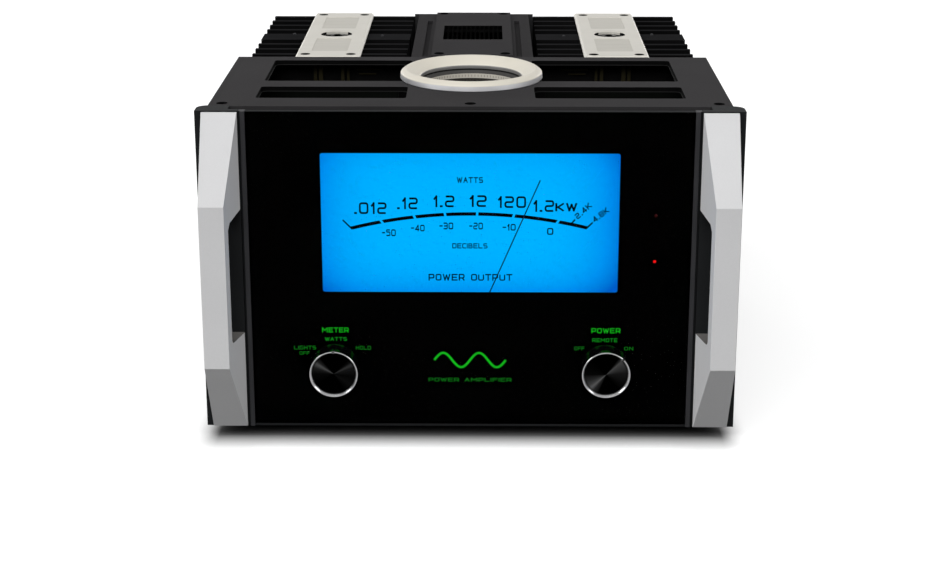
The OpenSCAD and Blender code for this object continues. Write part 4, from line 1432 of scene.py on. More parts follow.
@dataclass
class Lettering:
    """Words and the wave figure that shine through the mask.

    Attributes:
        plane: Distance of the words from the glass face.
        bright: Words in the strongest green.
        soft: Words in the middle green.
        dim: Words in the faint green.
        wave_z: Height of the wave figure's middle.
        wave_width: Width of the figure.
        wave_high: Height of a wave above its middle.
        wave_turns: Number of waves.
        wave_steps: Steps in the figure.
        wave_r: Half the width of its line.
        wave_flat: Thickness of its line as a share of the width.
    """

    plane: float = 6.1
    bright: Sequence[Word] = lines(
        1.5, ("METER", -112.7, 83.8, 22.4, 4.6), ("POWER", 113.6, 83.8, 24.2, 4.6))
    soft: Sequence[Word] = lines(
        1.5, ("WATTS", -112.4, 75.8, 18.3, 3.3), ("REMOTE", 112.8, 75.4, 20.9, 3.5))
    dim: Sequence[Word] = lines(
        1.5, ("LIGHTS", -138.5, 68.0, 18.4, 3.3), ("OFF", -139.0, 63.1, 8.4, 2.9),
        ("HOLD", -89.5, 68.0, 12.5, 3.3), ("OFF", 91.6, 68.0, 8.4, 3.3),
        ("ON", 133.0, 68.0, 7.6, 3.3), ("POWER AMPLIFIER", 0.0, 39.6, 70.0, 3.5))
    wave_z: float = 57.3
    wave_width: float = 60.0
    wave_high: float = 6.4
    wave_turns: int = 2
    wave_steps: int = 48
    wave_r: float = 0.95
    wave_flat: float = 0.06

    def build(self) -> None:
        """Set the words and the figure."""
        for finish, words in ((BRIGHT_GREEN, self.bright), (SOFT_GREEN, self.soft),
                              (DIM_GREEN, self.dim)):
            for number, word in enumerate(words, 1):
                keep(word.cut(f"{finish.name}_{number}", self.plane), finish)
        self._wave()

    def _wave(self) -> None:
        """Plain sine wave in the middle of the lower panel."""
        points = []
        for step in range(self.wave_steps + 1):
            turn = math.tau * self.wave_turns * step / self.wave_steps
            points.append(at(-self.wave_width / 2 + self.wave_width * step / self.wave_steps,
                             self.plane, self.wave_z + self.wave_high * math.sin(turn)))
        piece = tube(draw("wave_figure", points), self.wave_r, 2)
        with edit(piece):
            bpy.ops.transform.resize(value=(1, self.wave_flat, 1),
                                     center_override=at(0, self.plane, self.wave_z))
        keep(piece, BRIGHT_GREEN)


@dataclass
class Meter:
    """Lit dial with its print, needle and movement.

    Attributes:
        plane: Distance of the print from the glass face.
        arc_centre: X and Z of the middle of the scale's arc.
        arc_r: Radius of the arc.
        arc_w: Width of the arc's line.
        arc_steps: Steps in a length of the arc.
        gap_w: Width of the breaks in the arc.
        pivot_z: Height of the needle's pivot.
        ends: X of the arc's two ends.
        breaks: X of the breaks.
        spare: How far a length runs on past the arc's end and past a break until it is trimmed.
        tips: X and Z of both ends of the strokes at the arc's ends.
        tip_w: Width of those strokes.
        words: Numbers and words on the dial.
        needle_edge: Rounding of the needle's edges.
    """

    plane: float = 13.93
    arc_centre: Pair = (0.6, -213.8)
    arc_r: float = 396.8
    arc_w: float = 2.9
    arc_steps: int = 12
    gap_w: float = 1.9
    pivot_z: float = 77.5
    ends: Pair = (-98.2, 97.2)
    breaks: Sequence[float] = (-73.1, -45.9, -20.7, 5.8, 35.9, 72.4)
    spare: Pair = (5.0, 2.0)
    tips: Sequence[tuple[Pair, Pair]] = (
        ((-97.4, 169.5), (-105.3, 177.5)), ((96.4, 171.2), (101.2, 175.9)),
        ((83.2, 174.4), (86.6, 178.4)))
    tip_w: float = 1.25
    words: Sequence[Word] = (
        Word(".012", -82.3, 187.9, 26.8, 10.4), Word(".12", -51.7, 192.1, 17.2, 10.4),
        Word("1.2", -21.7, 193.9, 17.6, 10.4), Word("12", 6.5, 194.2, 14.4, 10.4),
        Word("120", 34.3, 193.4, 23.4, 10.4), Word("1.2", 60.5, 190.1, 17.4, 10.4),
        Word("KW", 79.2, 189.0, 18.2, 7.6, weight=2.0),
        Word("2.4K", 93.1, 185.8, 16.4, 5.2, 44.0, 1.9),
        Word("4.8K", 107.4, 182.4, 15.6, 5.2, 39.0, 1.9),
        Word("WATTS", -0.2, 212.0, 21.6, 5.2, weight=1.9),
        *lines(1.8, ("-50", -67.3, 166.6, 11.4, 5.9), ("-40", -43.3, 170.8, 11.2, 5.9),
               ("-30", -19.7, 172.6, 11.4, 5.9), ("-20", 4.9, 172.6, 11.2, 5.9),
               ("-10", 32.2, 171.7, 10.8, 5.9), ("0", 66.2, 168.1, 5.2, 5.9)),
        Word("DECIBELS", -0.2, 155.4, 29.2, 4.5, weight=1.9),
        Word("POWER OUTPUT", 0.2, 127.9, 69.8, 6.2, weight=1.8))
    needle_edge: float = 0.08

    def build(self) -> None:
        """Dress the meter."""
        dress(DIAL, "meter_dial")
        for number, word in enumerate(self.words, 1):
            keep(word.cut(f"dial_word_{number:02d}", self.plane), PRINT)
        self._scale()
        refine("meter_needle", NEEDLE, self.needle_edge, "meter_pointer")
        dress(WHITE_BOX, "meter_box")
        dress(MAGNET, "meter_magnet")
        dress(BRASS, "meter_bridge")
        dress(COPPER, "meter_coil")

    def _on_arc(self, x: float) -> Pair:
        """Point of the arc at a distance across."""
        return x, self.arc_centre[1] + math.sqrt(self.arc_r ** 2 - (x - self.arc_centre[0]) ** 2)

    def _scale(self) -> None:
        """Arc in lengths between its breaks, with the strokes at its ends."""
        run_on, overlap = self.spare
        stops = [self.ends[0] - run_on, *self.breaks, self.ends[1] + run_on]
        for number, (left, right) in enumerate(zip(stops, stops[1:]), 1):
            piece = self._length(f"scale_arc_{number}", left - overlap, right + overlap)
            first, last = number == 1, number == len(stops) - 1
            self._trim(piece, self.ends[0] if first else left, 1, 0 if first else self.gap_w / 2)
            self._trim(piece, self.ends[1] if last else right, -1, 0 if last else self.gap_w / 2)
            keep(piece, PRINT)
        for number, (start, end) in enumerate(self.tips, 1):
            keep(bar(f"scale_tip_{number}", start, end, self.plane, self.tip_w), PRINT)

    def _length(self, name: str, left: float, right: float) -> Piece:
        """Model a length of the arc's line.

        Args:
            name: Name of the new piece.
            left: X of its left end.
            right: X of its right end.

        Returns:
            The length.
        """
        (x, z), (far_x, far_z) = self._on_arc(left), self._on_arc(right)
        cx, cz = self.arc_centre
        out = Vector((x - cx, 0, z - cz)).normalized() * self.arc_w / 2 * MM
        deep = Y_AXIS * (PRINT_THICK / 2) * MM
        base = at(x, self.plane, z)
        turn = math.atan2(far_x - cx, far_z - cz) - math.atan2(x - cx, z - cz)
        piece = draw(name, [base - out - deep, base + out - deep, base + out + deep,
                            base - out + deep], closed=True)
        with edit(piece):
            bpy.ops.mesh.edge_face_add()
        spin(piece, self.arc_steps, -turn, at(cx, self.plane, cz), Y_AXIS)
        return piece

    def _trim(self, piece: Piece, x: float, side: int, back: float) -> None:
        """Cut an end of a length along the needle's direction.

        Args:
            piece: The length.
            x: Place of the break, across.
            side: 1 to keep what lies to the right, -1 to keep the left.
            back: Distance from the break's middle to the cut.
        """
        x, z = self._on_arc(x)
        ray = Vector((x, 0, z - self.pivot_z)).normalized()
        normal = Vector((ray.z, 0, -ray.x)) * side
        with edit(piece):
            bpy.ops.mesh.bisect(plane_co=at(x, self.plane, z) + normal * back * MM,
                                plane_no=normal, use_fill=True, clear_inner=True)


@dataclass
class Controls:
    """Knobs with their rims, shafts and switches, and the two lamps.

    Attributes:
        knob_x: Distance of a knob from the middle.
        knob_z: Height of a knob.
        knobs: Name and side of each knob, and its notch's turn at rest, in degrees to the right.
        knob_outline: Radius and depth of a knob's outline.
        painted_rays: Painted highlight rays of the sunray face of the left and the right knob.
        rim_foot: Radius and depth of the rim's inner foot.
        rim_bulge: Radius and depth of the middle of the rim's rounded slope, and its own radius.
        rim_leans: Lean of the slope at its points, in degrees.
        rim_wall: Radius and depth of the rim's points outside the slope.
        rim_r: Radius past which a face of the rim belongs to its outer wall.
        rim_bend: Edges of the rim that bend more than this, in degrees, stay edges.
        notch: Width, depth and length of the notch's cutter.
        notch_at: Radius and depth of the cutter's middle.
        lamp_x: Place of the lamps, across.
        lamp_outline: Radius and depth of a lamp's outline.
        lamps: Height of each lamp and its finish.
    """

    knob_x: float = 112.8
    knob_z: float = 54.0
    knobs: Sequence[tuple[str, int, float]] = (("meter", -1, 0.0), ("power", 1, 45.0))
    knob_outline: Outline = (
        (0, -18.5), (16.6, -18.5), (17.2, -18.4), (17.55, -18.05), (17.55, -17.35),
        (19.7, -17.35), (20.0, -17.1), (20.0, -1.6), (19.6, -1.2), (3.06, -1.2),
        (3.06, -15.0), (0, -15.0))
    # Rays of painted highlight, set in the base colour of each knob's face.
    painted_rays: tuple[Sequence[Pair], Sequence[Pair]] = (
        ((45, 0), (54, 0.003), (62, 0.022), (71, 0.006), (85, 0.0035), (100, 0.0012), (125, 0.003),
         (150, 0), (235, 0), (280, 0.0045), (290, 0.01), (302, 0.05), (310, 0.01), (322, 0)),
        ((35, 0), (42, 0.01), (47, 0.045), (56, 0.03), (70, 0.018), (85, 0.006), (130, 0.001),
         (140, 0), (200, 0), (217, 0.015), (227, 0.075), (236, 0.035), (250, 0.015), (320, 0)))
    rim_foot: Pair = (17.65, -17.4)
    rim_bulge: tuple[float, float, float] = (23.305, -15.363, 6.24)
    rim_leans: Sequence[float] = (65.0, 59.25, 53.5, 47.75, 42.0)
    rim_wall: Outline = ((19.85, -20.0), (20.0, -19.85), (20.0, -17.4))
    rim_r: float = 19.9
    rim_bend: float = 35.0
    notch: tuple[float, float, float] = (2.2, 3.0, 6.0)
    notch_at: Pair = (18.5, -19.5)
    lamp_x: float = 152.5
    lamp_outline: Outline = ((0, 6.25), (0.7, 6.25), (1.15, 6.45), (1.3, 6.9), (1.3, 19.9),
                             (0, 19.9))
    lamps: Sequence[tuple[float, Finish]] = ((144.5, LED_LIT), (184.0, LED_DARK))

    def build(self) -> None:
        """Dress the controls."""
        for label, side, turn in self.knobs:
            self._knob(label, side)
            self._rim(label, side, math.radians(turn))
            dress(SHAFT, f"{label}_shaft")
            dress(SWITCH, f"{label}_switch")
        lamps = [keep(lathe(f"lamp_{number}", self.lamp_outline, at(self.lamp_x, 0, z), Y_AXIS,
                            steps=24), finish)
                 for number, (z, finish) in enumerate(self.lamps, 1)]
        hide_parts("indicator_leds")

    def _knob(self, label: str, side: int) -> None:
        """Turned knob with a brushed face that carries painted highlight rays, and a glossy side.

        Args:
            label: Name of the knob.
            side: Its side of the panel, -1 for the left.
        """
        centre = at(side * self.knob_x, 0, self.knob_z)
        piece = lathe(f"{label}_knob_dressed", self.knob_outline, centre, Y_AXIS, steps=128)
        # The face's finish carries the painted highlight rays in its base colour.
        brushed = Finish(f"{label}_knob_turned", "knob_black", "050505", "080808", 0.34, 1.0,
                         0.5, Grain.ROUND_Y, 0.35, 0.02, centre=tuple(centre),
                         painted_rays=self.painted_rays[0 if side < 0 else 1])
        paint(piece, (KNOB_SIDE, brushed), lambda face: face.normal.y < -TOP)
        keep(piece, KNOB_SIDE, f"{label}_control", [f"{label}_knob"])

    def _rim(self, label: str, side: int, turn: float) -> None:
        """Bright rim that slopes in to the face, with the notch that points to the setting.

        Args:
            label: Name of the knob.
            side: Its side of the panel, -1 for the left.
            turn: Turn of the notch at rest, in radians to the right.
        """
        bulge_r, bulge_y, radius = self.rim_bulge
        slope = [(bulge_r - radius * math.sin(lean), bulge_y - radius * math.cos(lean))
                 for lean in map(math.radians, self.rim_leans)]
        centre = at(side * self.knob_x, 0, self.knob_z)
        piece = lathe(f"{label}_knob_rim_dressed", [self.rim_foot, *slope, *self.rim_wall],
                      centre, Y_AXIS, steps=128)
        far, deep = self.notch_at
        middle = centre + Vector((math.sin(turn) * far, deep, math.cos(turn) * far)) * MM
        carve(piece, cube(middle, Vector(self.notch) * MM, turn))
        smooth(piece, self.rim_bend)
        paint(piece, (RIM, KNOB_SIDE), lambda face: self._dark(face, side, turn))
        keep(piece, RIM, f"{label}_control", [f"{label}_knob_rim"])

    def _dark(self, face: Face, side: int, turn: float) -> bool:
        """Whether a face of a rim lies on its outer wall or in its notch.

        Args:
            face: The face.
            side: The knob's side of the panel.
            turn: Turn of the notch at rest, in radians to the right.

        Returns:
            True if it does.
        """
        x, z = spot(face).x - side * self.knob_x, spot(face).z - self.knob_z
        beside = x * math.cos(turn) - z * math.sin(turn)
        along = x * math.sin(turn) + z * math.cos(turn)
        wall = math.hypot(x, z) > self.rim_r and abs(face.normal.y) < STEEP
        return wall or (abs(beside) < self.notch[0] / 2 + SLACK and along > 0)


@dataclass
class TopDeck:
    """Top plate with its ring, sleeve, lens and screws.

    Attributes:
        ring_y: Distance of the ring's middle from the glass face.
        top_z: Height of the plate's upper face.
        plate_edge: Rounding of the plate's edges.
        lid_z: Height of the tower lid's upper face.
        lid_y: Distance from the glass face past which a screw is on the tower's lid.
        lid_heads: Height of the heads of those screws as a share of the solids'.
        screw_edge: Rounding of the screws' edges.
        well: Half width, and nearer and farther Y, of the area with the slots and pockets.
        slots: Name of each slot, and X and Y of its nearer and farther corner.
        bead_z: Distance of a bead's middle below the plate's upper face.
        bead_gap: How much smaller than its slot a bead is.
        bead_bend: Radius of a bead's bends.
        bead_r: Radius of a bead.
        bead_round: Edges of a bead that bend more than this, in degrees, stay edges.
        ring_outline: Radius and height of the ring's outline.
        ring_wall_r: Radius past which a face is the ring's outer wall, toned as painted
            reflection.
        ring_bore: Radius and lower end of the ring's bore, toned darker as painted shade.
        sleeve_outline: Radius and height of the sleeve's outline.
        throat_r: Inner radius of the sleeve.
        bevel_r: Radius past which a face belongs to the sleeve's bevel, toned dark as painted
            shade.
        ticks: Number of tick marks round the sleeve.
        tick_size: Width, depth and height of a tick mark.
        tick_z: Distance of a tick mark's middle below the plate's upper face.
        tick_proud: How far a tick mark's middle stands in front of the throat's wall.
    """

    ring_y: float = RING_Y
    top_z: float = 273.0
    plate_edge: float = 0.6
    lid_z: float = 274.5
    lid_y: float = 217.0
    lid_heads: float = 0.12
    screw_edge: float = 0.12
    well: tuple[float, float, float] = (212.0, 22.0, 215.5)
    slots: Sequence[tuple[str, Pair, Pair]] = (
        ("front", (53.5, 47.5), (178.5, 90.5)), ("rear", (54.0, 113.5), (178.5, 200.5)))
    bead_z: float = 4.0
    bead_gap: float = 0.7
    bead_bend: float = 5.5
    bead_r: float = 0.45
    bead_round: float = 60.0
    ring_outline: Outline = (
        (43.8, -4.5), (46.0, -4.5), (46.0, 0.0), (61.5, 0.0), (62.0, 0.5), (61.55, 4.3),
        (61.35, 4.85), (60.9, 5.4), (60.1, 6.05), (58.6, 7.05), (57.5, 7.65), (56.7, 7.95),
        (56.0, 8.0), (55.2, 7.85), (53.6, 7.1), (50.0, 4.95), (46.6, 2.75), (45.0, 1.65),
        (44.2, 0.95), (43.8, 0.2), (43.8, -1.9))
    ring_wall_r: float = 61.6
    ring_bore: Pair = (44.1, -1.9)
    sleeve_outline: Outline = (
        (41.0, -12.0), (51.4, -12.0), (51.4, -4.5), (43.4, -4.5), (43.4, -3.3), (43.2, -3.2),
        (41.2, -5.5), (41.0, -5.9))
    throat_r: float = 41.0
    bevel_r: float = 41.05
    ticks: int = 90
    tick_size: tuple[float, float, float] = (0.55, 0.1, 2.0)
    tick_z: float = 7.9
    tick_proud: float = 0.04

    def build(self) -> None:
        """Dress the top."""
        refine("top_plate", PLATE, self.plate_edge, others=[SLOT_WALL_SHADE], choose=self._in_slot)
        for place, low, high in self.slots:
            for label, side in SIDES:
                self._bead(f"{label}_{place}_slot_bead", side, low, high)
        self._screws()
        dress(LENS, "ring_lens")
        centre = at(0, self.ring_y, self.top_z)
        ring = lathe("top_ring_dressed", self.ring_outline, centre, Z_AXIS, steps=160)
        paint(ring, (RING, RING_WALL_REFLECTION, RING_BORE_SHADE, NECK_SHADE), self._ring_part)
        keep(ring, RING, stands_for=["top_ring"])
        sleeve = lathe("ring_sleeve_dressed", self.sleeve_outline, centre, Z_AXIS, steps=128)
        paint(sleeve, (SLEEVE, SLEEVE_BEVEL_SHADE),
              lambda face: reach(face, 0, self.ring_y) > self.bevel_r)
        keep(sleeve, SLEEVE, stands_for=["ring_sleeve"])
        self._ticks(centre)

    def _in_slot(self, face: Face) -> bool:
        """Whether a face is a wall of a slot or a screw's pocket, toned black as painted shade.

        Args:
            face: The face.

        Returns:
            True if it is.
        """
        half_x, near, far = self.well
        middle = spot(face)
        return abs(face.normal.z) < STEEP and abs(middle.x) < half_x and near < middle.y < far

    def _bead(self, name: str, side: int, low: Pair, high: Pair) -> None:
        """Rolled lower edge of a slot, with wide bends, toned darker than the plate as painted
        shade.

        Args:
            name: Name of the bead.
            side: Side of the plate, -1 for the left.
            low: X and Y of the slot's nearer inner corner.
            high: X and Y of its farther outer corner.
        """
        pick()
        bpy.ops.mesh.primitive_plane_add(size=1.0, location=at(
            side * (low[0] + high[0]) / 2, (low[1] + high[1]) / 2, self.top_z - self.bead_z))
        bpy.context.object.scale = Vector((high[0] - low[0] - self.bead_gap,
                                           high[1] - low[1] - self.bead_gap, 1)) * MM
        piece = settle(bpy.context.object)
        with edit(piece):
            bpy.ops.mesh.bevel(offset=self.bead_bend * MM, segments=8, affect="VERTICES")
            bpy.ops.mesh.select_all(action="SELECT")
            bpy.ops.mesh.delete(type="ONLY_FACE")
        piece = settle(tube(piece, self.bead_r, 2, caps=False))
        piece.name = name
        smooth(piece, self.bead_round)
        keep(piece, SLOT_BEAD_SHADE)

    def _screws(self) -> None:
        """Cover screws, with low heads on the tower's lid."""
        piece = copy_node("cover_screws")
        choose_faces(piece, lambda face: spot(face).y > self.lid_y and spot(face).z > self.lid_z)
        with edit(piece, everything=False):
            bpy.ops.transform.resize(value=(1, 1, self.lid_heads),
                                     center_override=at(0, 0, self.lid_z))
        soften(piece, self.screw_edge)
        with edit(piece):
            weld(3 * MERGE)
            bpy.ops.mesh.dissolve_degenerate(threshold=MERGE)
        keep(piece, SCREW, stands_for=["cover_screws"])

    def _ring_part(self, face: Face) -> int:
        """Number of a face's finish on the ring.

        Args:
            face: The face.

        Returns:
            0 for the funnel, 1 for the outer wall in painted reflection, 2 for the bore in
            painted shade, 3 for the neck below it in deeper painted shade.
        """
        bore_r, bore_z = self.ring_bore
        radius = reach(face, 0, self.ring_y)
        if radius < bore_r:
            return 2 if spot(face).z > self.top_z + bore_z else 3
        return int(radius > self.ring_wall_r)

    def _ticks(self, centre: Vector) -> None:
        """Band of tick marks round the sleeve's throat.

        Args:
            centre: The ring's middle, in metres.
        """
        offset = Vector((0, self.throat_r - self.tick_proud, -self.tick_z)) * MM
        tick = cube(centre + offset, Vector(self.tick_size) * MM)
        tick.name = "sleeve_ticks"
        soften(tick, PRINT_EDGE, 1)
        copies = [tick]
        for number in range(1, self.ticks):
            copy = tick.copy()
            copy.data = tick.data.copy()
            bpy.context.scene.collection.objects.link(copy)
            with edit(copy):
                bpy.ops.transform.rotate(value=math.tau * number / self.ticks, orient_axis="Z",
                                         center_override=centre)
            copies.append(copy)
        keep(join(copies), TICK)


@dataclass
class HeatSinks:
    """Two finned heat sinks with their caps.

    Attributes:
        sink_edge: Rounding of a sink's edges.
        cap_edge: Rounding of a cap's edges.
        faces: X and Y past which a face of a sink is seen from the side or the back.
        chimney: X, Y and outer radius of the chimney.
        mouth_z: Height above which the chimney's wall is bare, light grey as painted light.
        pocket_z: Height of the floor of a cap's shallow pockets.
        chamfer: Width of the chamfer round a cap.
        spare: How far the block that chamfers a cap stands out at its sides and at its top.
        lit: Share of the chimney's radius behind its middle, past which its rim is lit. Nearer
        than that the hole's wall is painted black as shade.
        hole_lean: Share of a normal along Z, under which a face belongs to the hole's wall.
        seal: Low and high corner of the seal between the right sink and the rear panel.
        seal_edge: Rounding of a seal's edges.
        pins: X and Y of the pins on a wide fin.
        pin_z: Height of the fin's top.
        pin_outline: Radius and height of a pin's outline.
    """

    sink_edge: float = 0.5
    cap_edge: float = 0.25
    faces: Pair = (204.4, 439.4)
    chimney: tuple[float, float, float] = (133.0, 328.35, 17.5)
    mouth_z: float = 269.2
    pocket_z: float = 273.1
    chamfer: float = 1.8
    spare: Pair = (0.3, 0.2)
    lit: float = 0.6
    hole_lean: float = 0.3
    seal: tuple[Sequence[float], Sequence[float]] = ((59.9, 437.4, 12.0), (61.6, 439.6, 269.6))
    seal_edge: float = 0.1
    pins: Sequence[Pair] = ((88.5, 331.0), (175.0, 339.0))
    pin_z: float = 270.0
    pin_outline: Outline = ((0, -0.5), (1.5, -0.5), (1.5, 1.0), (1.2, 1.3), (0, 1.3))

    def build(self) -> None:
        """Dress both sinks."""
        for label, side in SIDES:
            self._sink(label, side)
            self._cap(label, side)
            low, high = self.seal
            left, right = sorted((side * low[0], side * high[0]))
            keep(block(f"{label}_rear_seal", (left, *low[1:]), (right, *high[1:]),
                       self.seal_edge), RUBBER)
            for number, (x, y) in enumerate(self.pins, 1):
                keep(lathe(f"{label}_sink_pin_{number}", self.pin_outline,
                           at(side * x, y, self.pin_z), Z_AXIS, steps=24), PIN)

    def _sink(self, label: str, side: int) -> None:
        """Finned block with a bright mouth to its chimney.

        Fins darkened as painted shade; tops and the mouth toned lighter as painted light.

        Args:
            label: Name of the side.
            side: The side, -1 for the left.
        """
        piece = copy_node(f"{label}_heat_sink")
        soften(piece, self.sink_edge)
        with edit(piece):
            bpy.ops.mesh.bisect(plane_co=at(0, 0, self.mouth_z), plane_no=Z_AXIS)
        paint(piece, (SINK_SHADED, SINK_BORE, FIN_TOP_LIT, SINK_FACE),
              lambda face: self._sink_part(face, side))
        keep(piece, SINK_SHADED, stands_for=[f"{label}_heat_sink"])

    def _sink_part(self, face: Face, side: int) -> int:
        """Number of a face's finish on a sink.

        Args:
            face: The face.
            side: The sink's side, -1 for the left.

        Returns:
            0 for the fins in painted shade, 1 for the chimney's mouth in painted light, 2 for
            tops toned lighter as painted light, 3 for the outer faces.
        """
        if face.normal.z > TOP:
            return 2
        if spot(face).y > self.faces[1] or side * spot(face).x > self.faces[0]:
            return 3
        x, y, radius = self.chimney
        return int(spot(face).z > self.mouth_z and abs(face.normal.z) < STEEP
                   and reach(face, side * x, y) < radius)

    def _cap(self, label: str, side: int) -> None:
        """Chamfered cap with two shallow pockets and a hole whose wall is painted black as shade.

        Args:
            label: Name of the side.
            side: The side, -1 for the left.
        """
        refine(f"{label}_sink_cap", CAP, self.cap_edge, others=[CAP_POCKET, SINK_SHADED],
               shape=lambda piece: self._chamfer(piece, f"{label}_sink_cap"),
               choose=lambda face: self._cap_part(face, side))

    def _chamfer(self, piece: Piece, node: str) -> None:
        """Chamfer a cap's upper edges.

        Args:
            piece: The copy of the cap.
            node: The cap's solid.
        """
        beside, above = self.spare
        low, high = (local(corner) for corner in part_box(node))
        shape = cutter(low - Vector((beside, beside, beside)),
                       high + Vector((beside, beside, above)))
        choose_edges(shape, lambda end: end.z > high.z)
        with edit(shape, "EDGE", everything=False):
            bpy.ops.mesh.bevel(offset=(self.chamfer + beside + above) * MM, segments=1,
                               affect="EDGES")
        carve(piece, shape, "INTERSECT")

    def _cap_part(self, face: Face, side: int) -> int:
        """Number of a face's finish on a cap.

        Args:
            face: The face.
            side: The cap's side, -1 for the left.

        Returns:
            0 for the cap, 1 for its pockets, 2 for its hole's wall in painted shade.
        """
        x, y, radius = self.chimney
        # The hole's wall, all but its far rim, painted black as shade.
        if (reach(face, side * x, y) < radius and face.normal.z < self.hole_lean
                and spot(face).y < y + radius * self.lit):
            return 2
        return int(face.normal.z > SQUARE and abs(spot(face).z - self.pocket_z) < NEAR)


@dataclass
class Tower:
    """Connector tower with its lid, rear panel and legends.

    Attributes:
        back: Distance of the rear face from the glass face.
        shell_edge: Rounding of the shell's edges.
        sheet_edge: Rounding of the edges of the lid and the rear panel.
        vent: Half width, half depth and middle of the lid's vent.
        proud: How far the middle of a legend is outside the rear face.
        legends: Words on the rear panel, with X to the left as seen from behind.
    """

    back: float = REAR_Y
    shell_edge: float = 0.5
    sheet_edge: float = 0.3
    vent: tuple[float, float, float] = (28.6, 35.7, 328.35)
    proud: float = 0.03
    legends: Sequence[Word] = lines(
        1.2, ("SPEAKER OUTPUT", 0, 192.5, 46, 2.8), ("8 OHMS", 0, 176, 15, 2.4),
        ("4 OHMS", 0, 142, 15, 2.4), ("2 OHMS", 0, 108, 15, 2.4),
        ("BALANCED INPUT", -27, 239.2, 34, 2.2), ("UNBALANCED", 27, 208.0, 26, 2.2),
        ("TRIGGER IN", -36, 258.5, 16, 1.8), ("OUT", -18, 258.5, 6, 1.8),
        ("INPUT SELECT", 27, 251.0, 24, 2.0), ("AC IN", 8, 61.5, 12, 2.6),
        ("FUSE", -38, 56.5, 11, 2.6))

    def build(self) -> None:
        """Dress the tower."""
        refine("tower_shell", TOWER, self.shell_edge)
        refine("tower_lid", LID, self.sheet_edge, others=[VENT], choose=self._in_vent)
        refine("rear_panel", CHASSIS, self.sheet_edge)
        for number, word in enumerate(self.legends, 1):
            keep(word.cut(f"rear_legend_{number:02d}", self.back + self.proud, Facing.BACK),
                 LEGEND)

    def _in_vent(self, face: Face) -> bool:
        """Whether a face of the lid lies in its vent.

        Args:
            face: The face.

        Returns:
            True if all its corners do.
        """
        half_x, half_y, middle = self.vent
        corners = [local(face.id_data.vertices[number].co) for number in face.vertices]
        return all(abs(end.x) < half_x and abs(end.y - middle) < half_y for end in corners)


@dataclass
class Connectors:
    """Speaker terminals, mains inlet, fuse and signal connectors on the rear panel.

    Attributes:
        posts: X and Z of each terminal.
        post_ring: Radius and height of the outline of a terminal's coloured ring.
        back: Distance of the rear face from the glass face.
        large_edge: Rounding of the edges of the terminals' bases, inlet and fuse holder.
        middle_edge: Rounding of the edges of the nuts, fuse cap and balanced socket.
        small_edge: Rounding of the edges of the latch, jacks and selector.
        jack_depth: Depth inside the rear face past which a jack is black.
        nut_end: Distance of a nut's end from the glass face.
        dish: Width of the rim round a nut's dished end, and depth of the dish.
        plug: Width of the dish round the plug hole, and depth of the hole below it.
        hole: Radius and depth from the nut's end within which a face is in the plug hole.
    """

    posts: Sequence[Pair] = tuple((x, z) for z in (176.0, 142.0, 108.0) for x in (-24.0, 24.0))
    post_ring: Outline = ((9.45, 0.05), (10.6, 0.05), (10.9, 0.4), (10.9, 3.0), (10.5, 3.4),
                          (9.45, 3.4))
    back: float = REAR_Y
    large_edge: float = 0.3
    middle_edge: float = 0.25
    small_edge: float = 0.2
    jack_depth: float = 2.9
    nut_end: float = 472.0
    dish: Pair = (1.4, 0.8)
    plug: Pair = (5.7, 1.2)
    hole: Pair = (2.35, 2.4)

    def build(self) -> None:
        """Dress the connectors."""
        refine("post_bases", GOLD, self.large_edge)
        for number, (x, z) in enumerate(self.posts, 1):
            self._nut(number, x, z)
            ring = lathe(f"post_ring_{number}", self.post_ring, at(x, self.back, z), Y_AXIS,
                         steps=64)
            keep(ring, RED_RING if x < 0 else BLACK_RING)
        refine("mains_inlet", BLACK_PLASTIC, self.large_edge)
        refine("fuse_holder", BLACK_PLASTIC, self.large_edge)
        refine("fuse_cap", BLACK_PLASTIC, self.middle_edge, "fuse_carrier")
        refine("balanced_input", NICKEL, self.middle_edge)
        refine("input_latch", NICKEL, self.small_edge, "plug_latch")
        refine("line_jacks", GOLD, self.small_edge, others=[BLACK_PLASTIC],
               choose=lambda face: spot(face).y < self.back - self.jack_depth)
        refine("selector_body", BLACK_PLASTIC, self.small_edge)
        refine("selector_slider", SLIDER, self.small_edge, "input_switch")

    def _nut(self, number: int, x: float, z: float) -> None:
        """Knurled nut with a dished end and a dark plug hole.

        Args:
            number: Number of the terminal.
            x: Place across.
            z: Place up.
        """
        radius, depth = self.hole
        refine(f"post_nut_{number}", GOLD, self.middle_edge, f"terminal_nut_{number}",
               others=[BLACK_PLASTIC], shape=self._dish,
               choose=lambda face: spot(face).y > self.nut_end - depth
               and math.hypot(spot(face).x - x, spot(face).z - z) < radius)

    def _dish(self, piece: Piece) -> None:
        """Dish the end of a nut and sink its plug hole.

        Args:
            piece: The nut.
        """
        choose_faces(piece, lambda face: face.normal.y > SQUARE
                     and spot(face).y > self.nut_end - NEAR)
        with edit(piece, "FACE", everything=False):
            bpy.ops.mesh.inset(thickness=self.dish[0] * MM)
            bpy.ops.transform.translate(value=(0, -self.dish[1] * MM, 0))
            bpy.ops.mesh.inset(thickness=self.plug[0] * MM)
            bpy.ops.mesh.extrude_region_move(
                TRANSFORM_OT_translate={"value": (0, -self.plug[1] * MM, 0)})


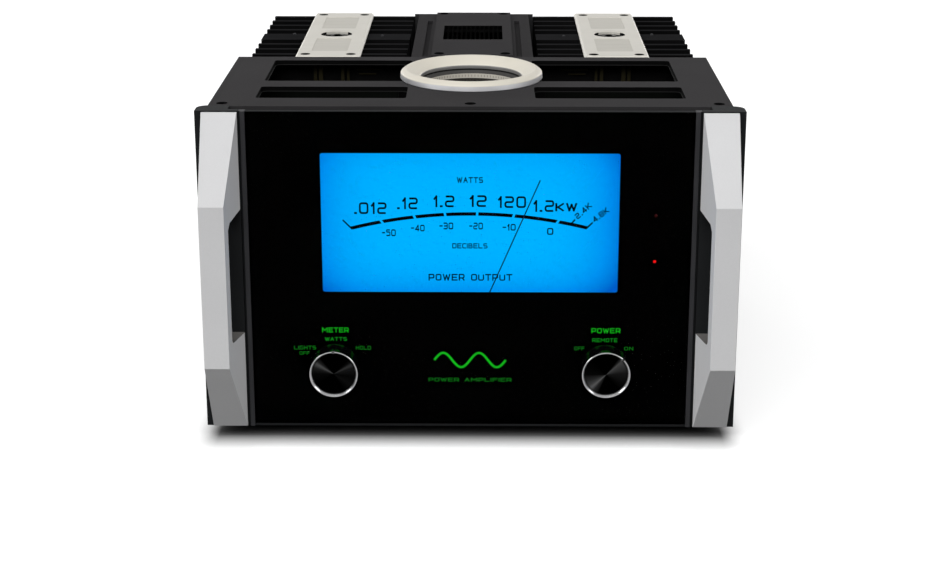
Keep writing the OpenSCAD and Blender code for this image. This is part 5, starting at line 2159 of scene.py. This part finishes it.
@dataclass
class Chassis:
    """Tray, side panels, inner wall and feet.

    Attributes:
        side_x: Distance of a side panel's outer face from the middle.
        panel_edge: Rounding of a side panel's edges.
        foot_edge: Rounding of the feet's edges.
        screws: Y and Z of the screws in a side panel.
        screw_outline: Radius and height of a screw head's outline.
    """

    side_x: float = 213.0
    panel_edge: float = 0.4
    foot_edge: float = 0.8
    screws: Sequence[Pair] = tuple((y, z) for y in (34, 118, 202) for z in (18, 250))
    screw_outline: Outline = ((0, 0.9), (1.5, 0.9), (1.7, 1.7), (3.0, 1.5), (3.9, 0.8),
                              (4.1, 0.0), (0, 0.0))

    def build(self) -> None:
        """Dress the chassis."""
        dress(CHASSIS, "base_tray")
        dress(INNER_SHADE, "inner_wall")
        for label, _ in SIDES:
            refine(f"{label}_side_panel", CHASSIS, self.panel_edge)
        refine("feet", RUBBER, self.foot_edge)
        for label, side in SIDES:
            for number, (y, z) in enumerate(self.screws, 1):
                keep(lathe(f"{label}_side_screw_{number}", self.screw_outline,
                           at(side * self.side_x, y, z), X_AXIS * side, steps=32), SCREW)


@dataclass
class Inside:
    """Parts that show through the slots of the top plate.

    Attributes:
        wall_y: Front face of the inner wall.
        heavy_edge: Rounding of the edges of the transformer and the capacitors.
        case_edge: Rounding of the edges of the parts on the wall.
        cases: X, Z, width, height and depth of the parts on the wall.
    """

    wall_y: float = 214.0
    heavy_edge: float = 0.8
    case_edge: float = 0.3
    cases: Sequence[tuple[float, float, float, float, float]] = (
        (143.5, 257, 3.2, 17, 3), (138.5, 257, 3.8, 17, 4), (118.5, 257, 3.0, 17, 4),
        (113.5, 257, 2.4, 17, 3), (94.0, 262, 24, 1.2, 2), (96.0, 258, 16, 1.2, 2))

    def build(self) -> None:
        """Dress the inside."""
        refine("power_transformer", WINDING_SHADED, self.heavy_edge)
        refine("filter_capacitors", CAN, self.heavy_edge)
        dress(POTTED, "output_autoformer")
        dress(BOARD_SHADE, "control_boards", "driver_boards")
        dress(BLACK_PLASTIC, "output_transistors")
        for label, side in SIDES:
            for number, (x, z, wide, high, deep) in enumerate(self.cases, 1):
                piece = block(f"{label}_wall_part_{number}",
                              (side * x - wide / 2, self.wall_y - deep, z - high / 2),
                              (side * x + wide / 2, self.wall_y, z + high / 2), self.case_edge)
                keep(piece, FILM_CAP)


def main() -> None:
    """Build the scene and note the sizes."""
    logging.basicConfig(level=logging.INFO, format="%(name)s %(message)s")
    for part in (Studio(), FrontPanel(), Lettering(), Meter(), Controls(), TopDeck(), HeatSinks(),
                 Tower(), Connectors(), Chassis(), Inside()):
        LOG.info("building %s", type(part).__name__)
        part.build()


if __name__ == "__main__":
    main()
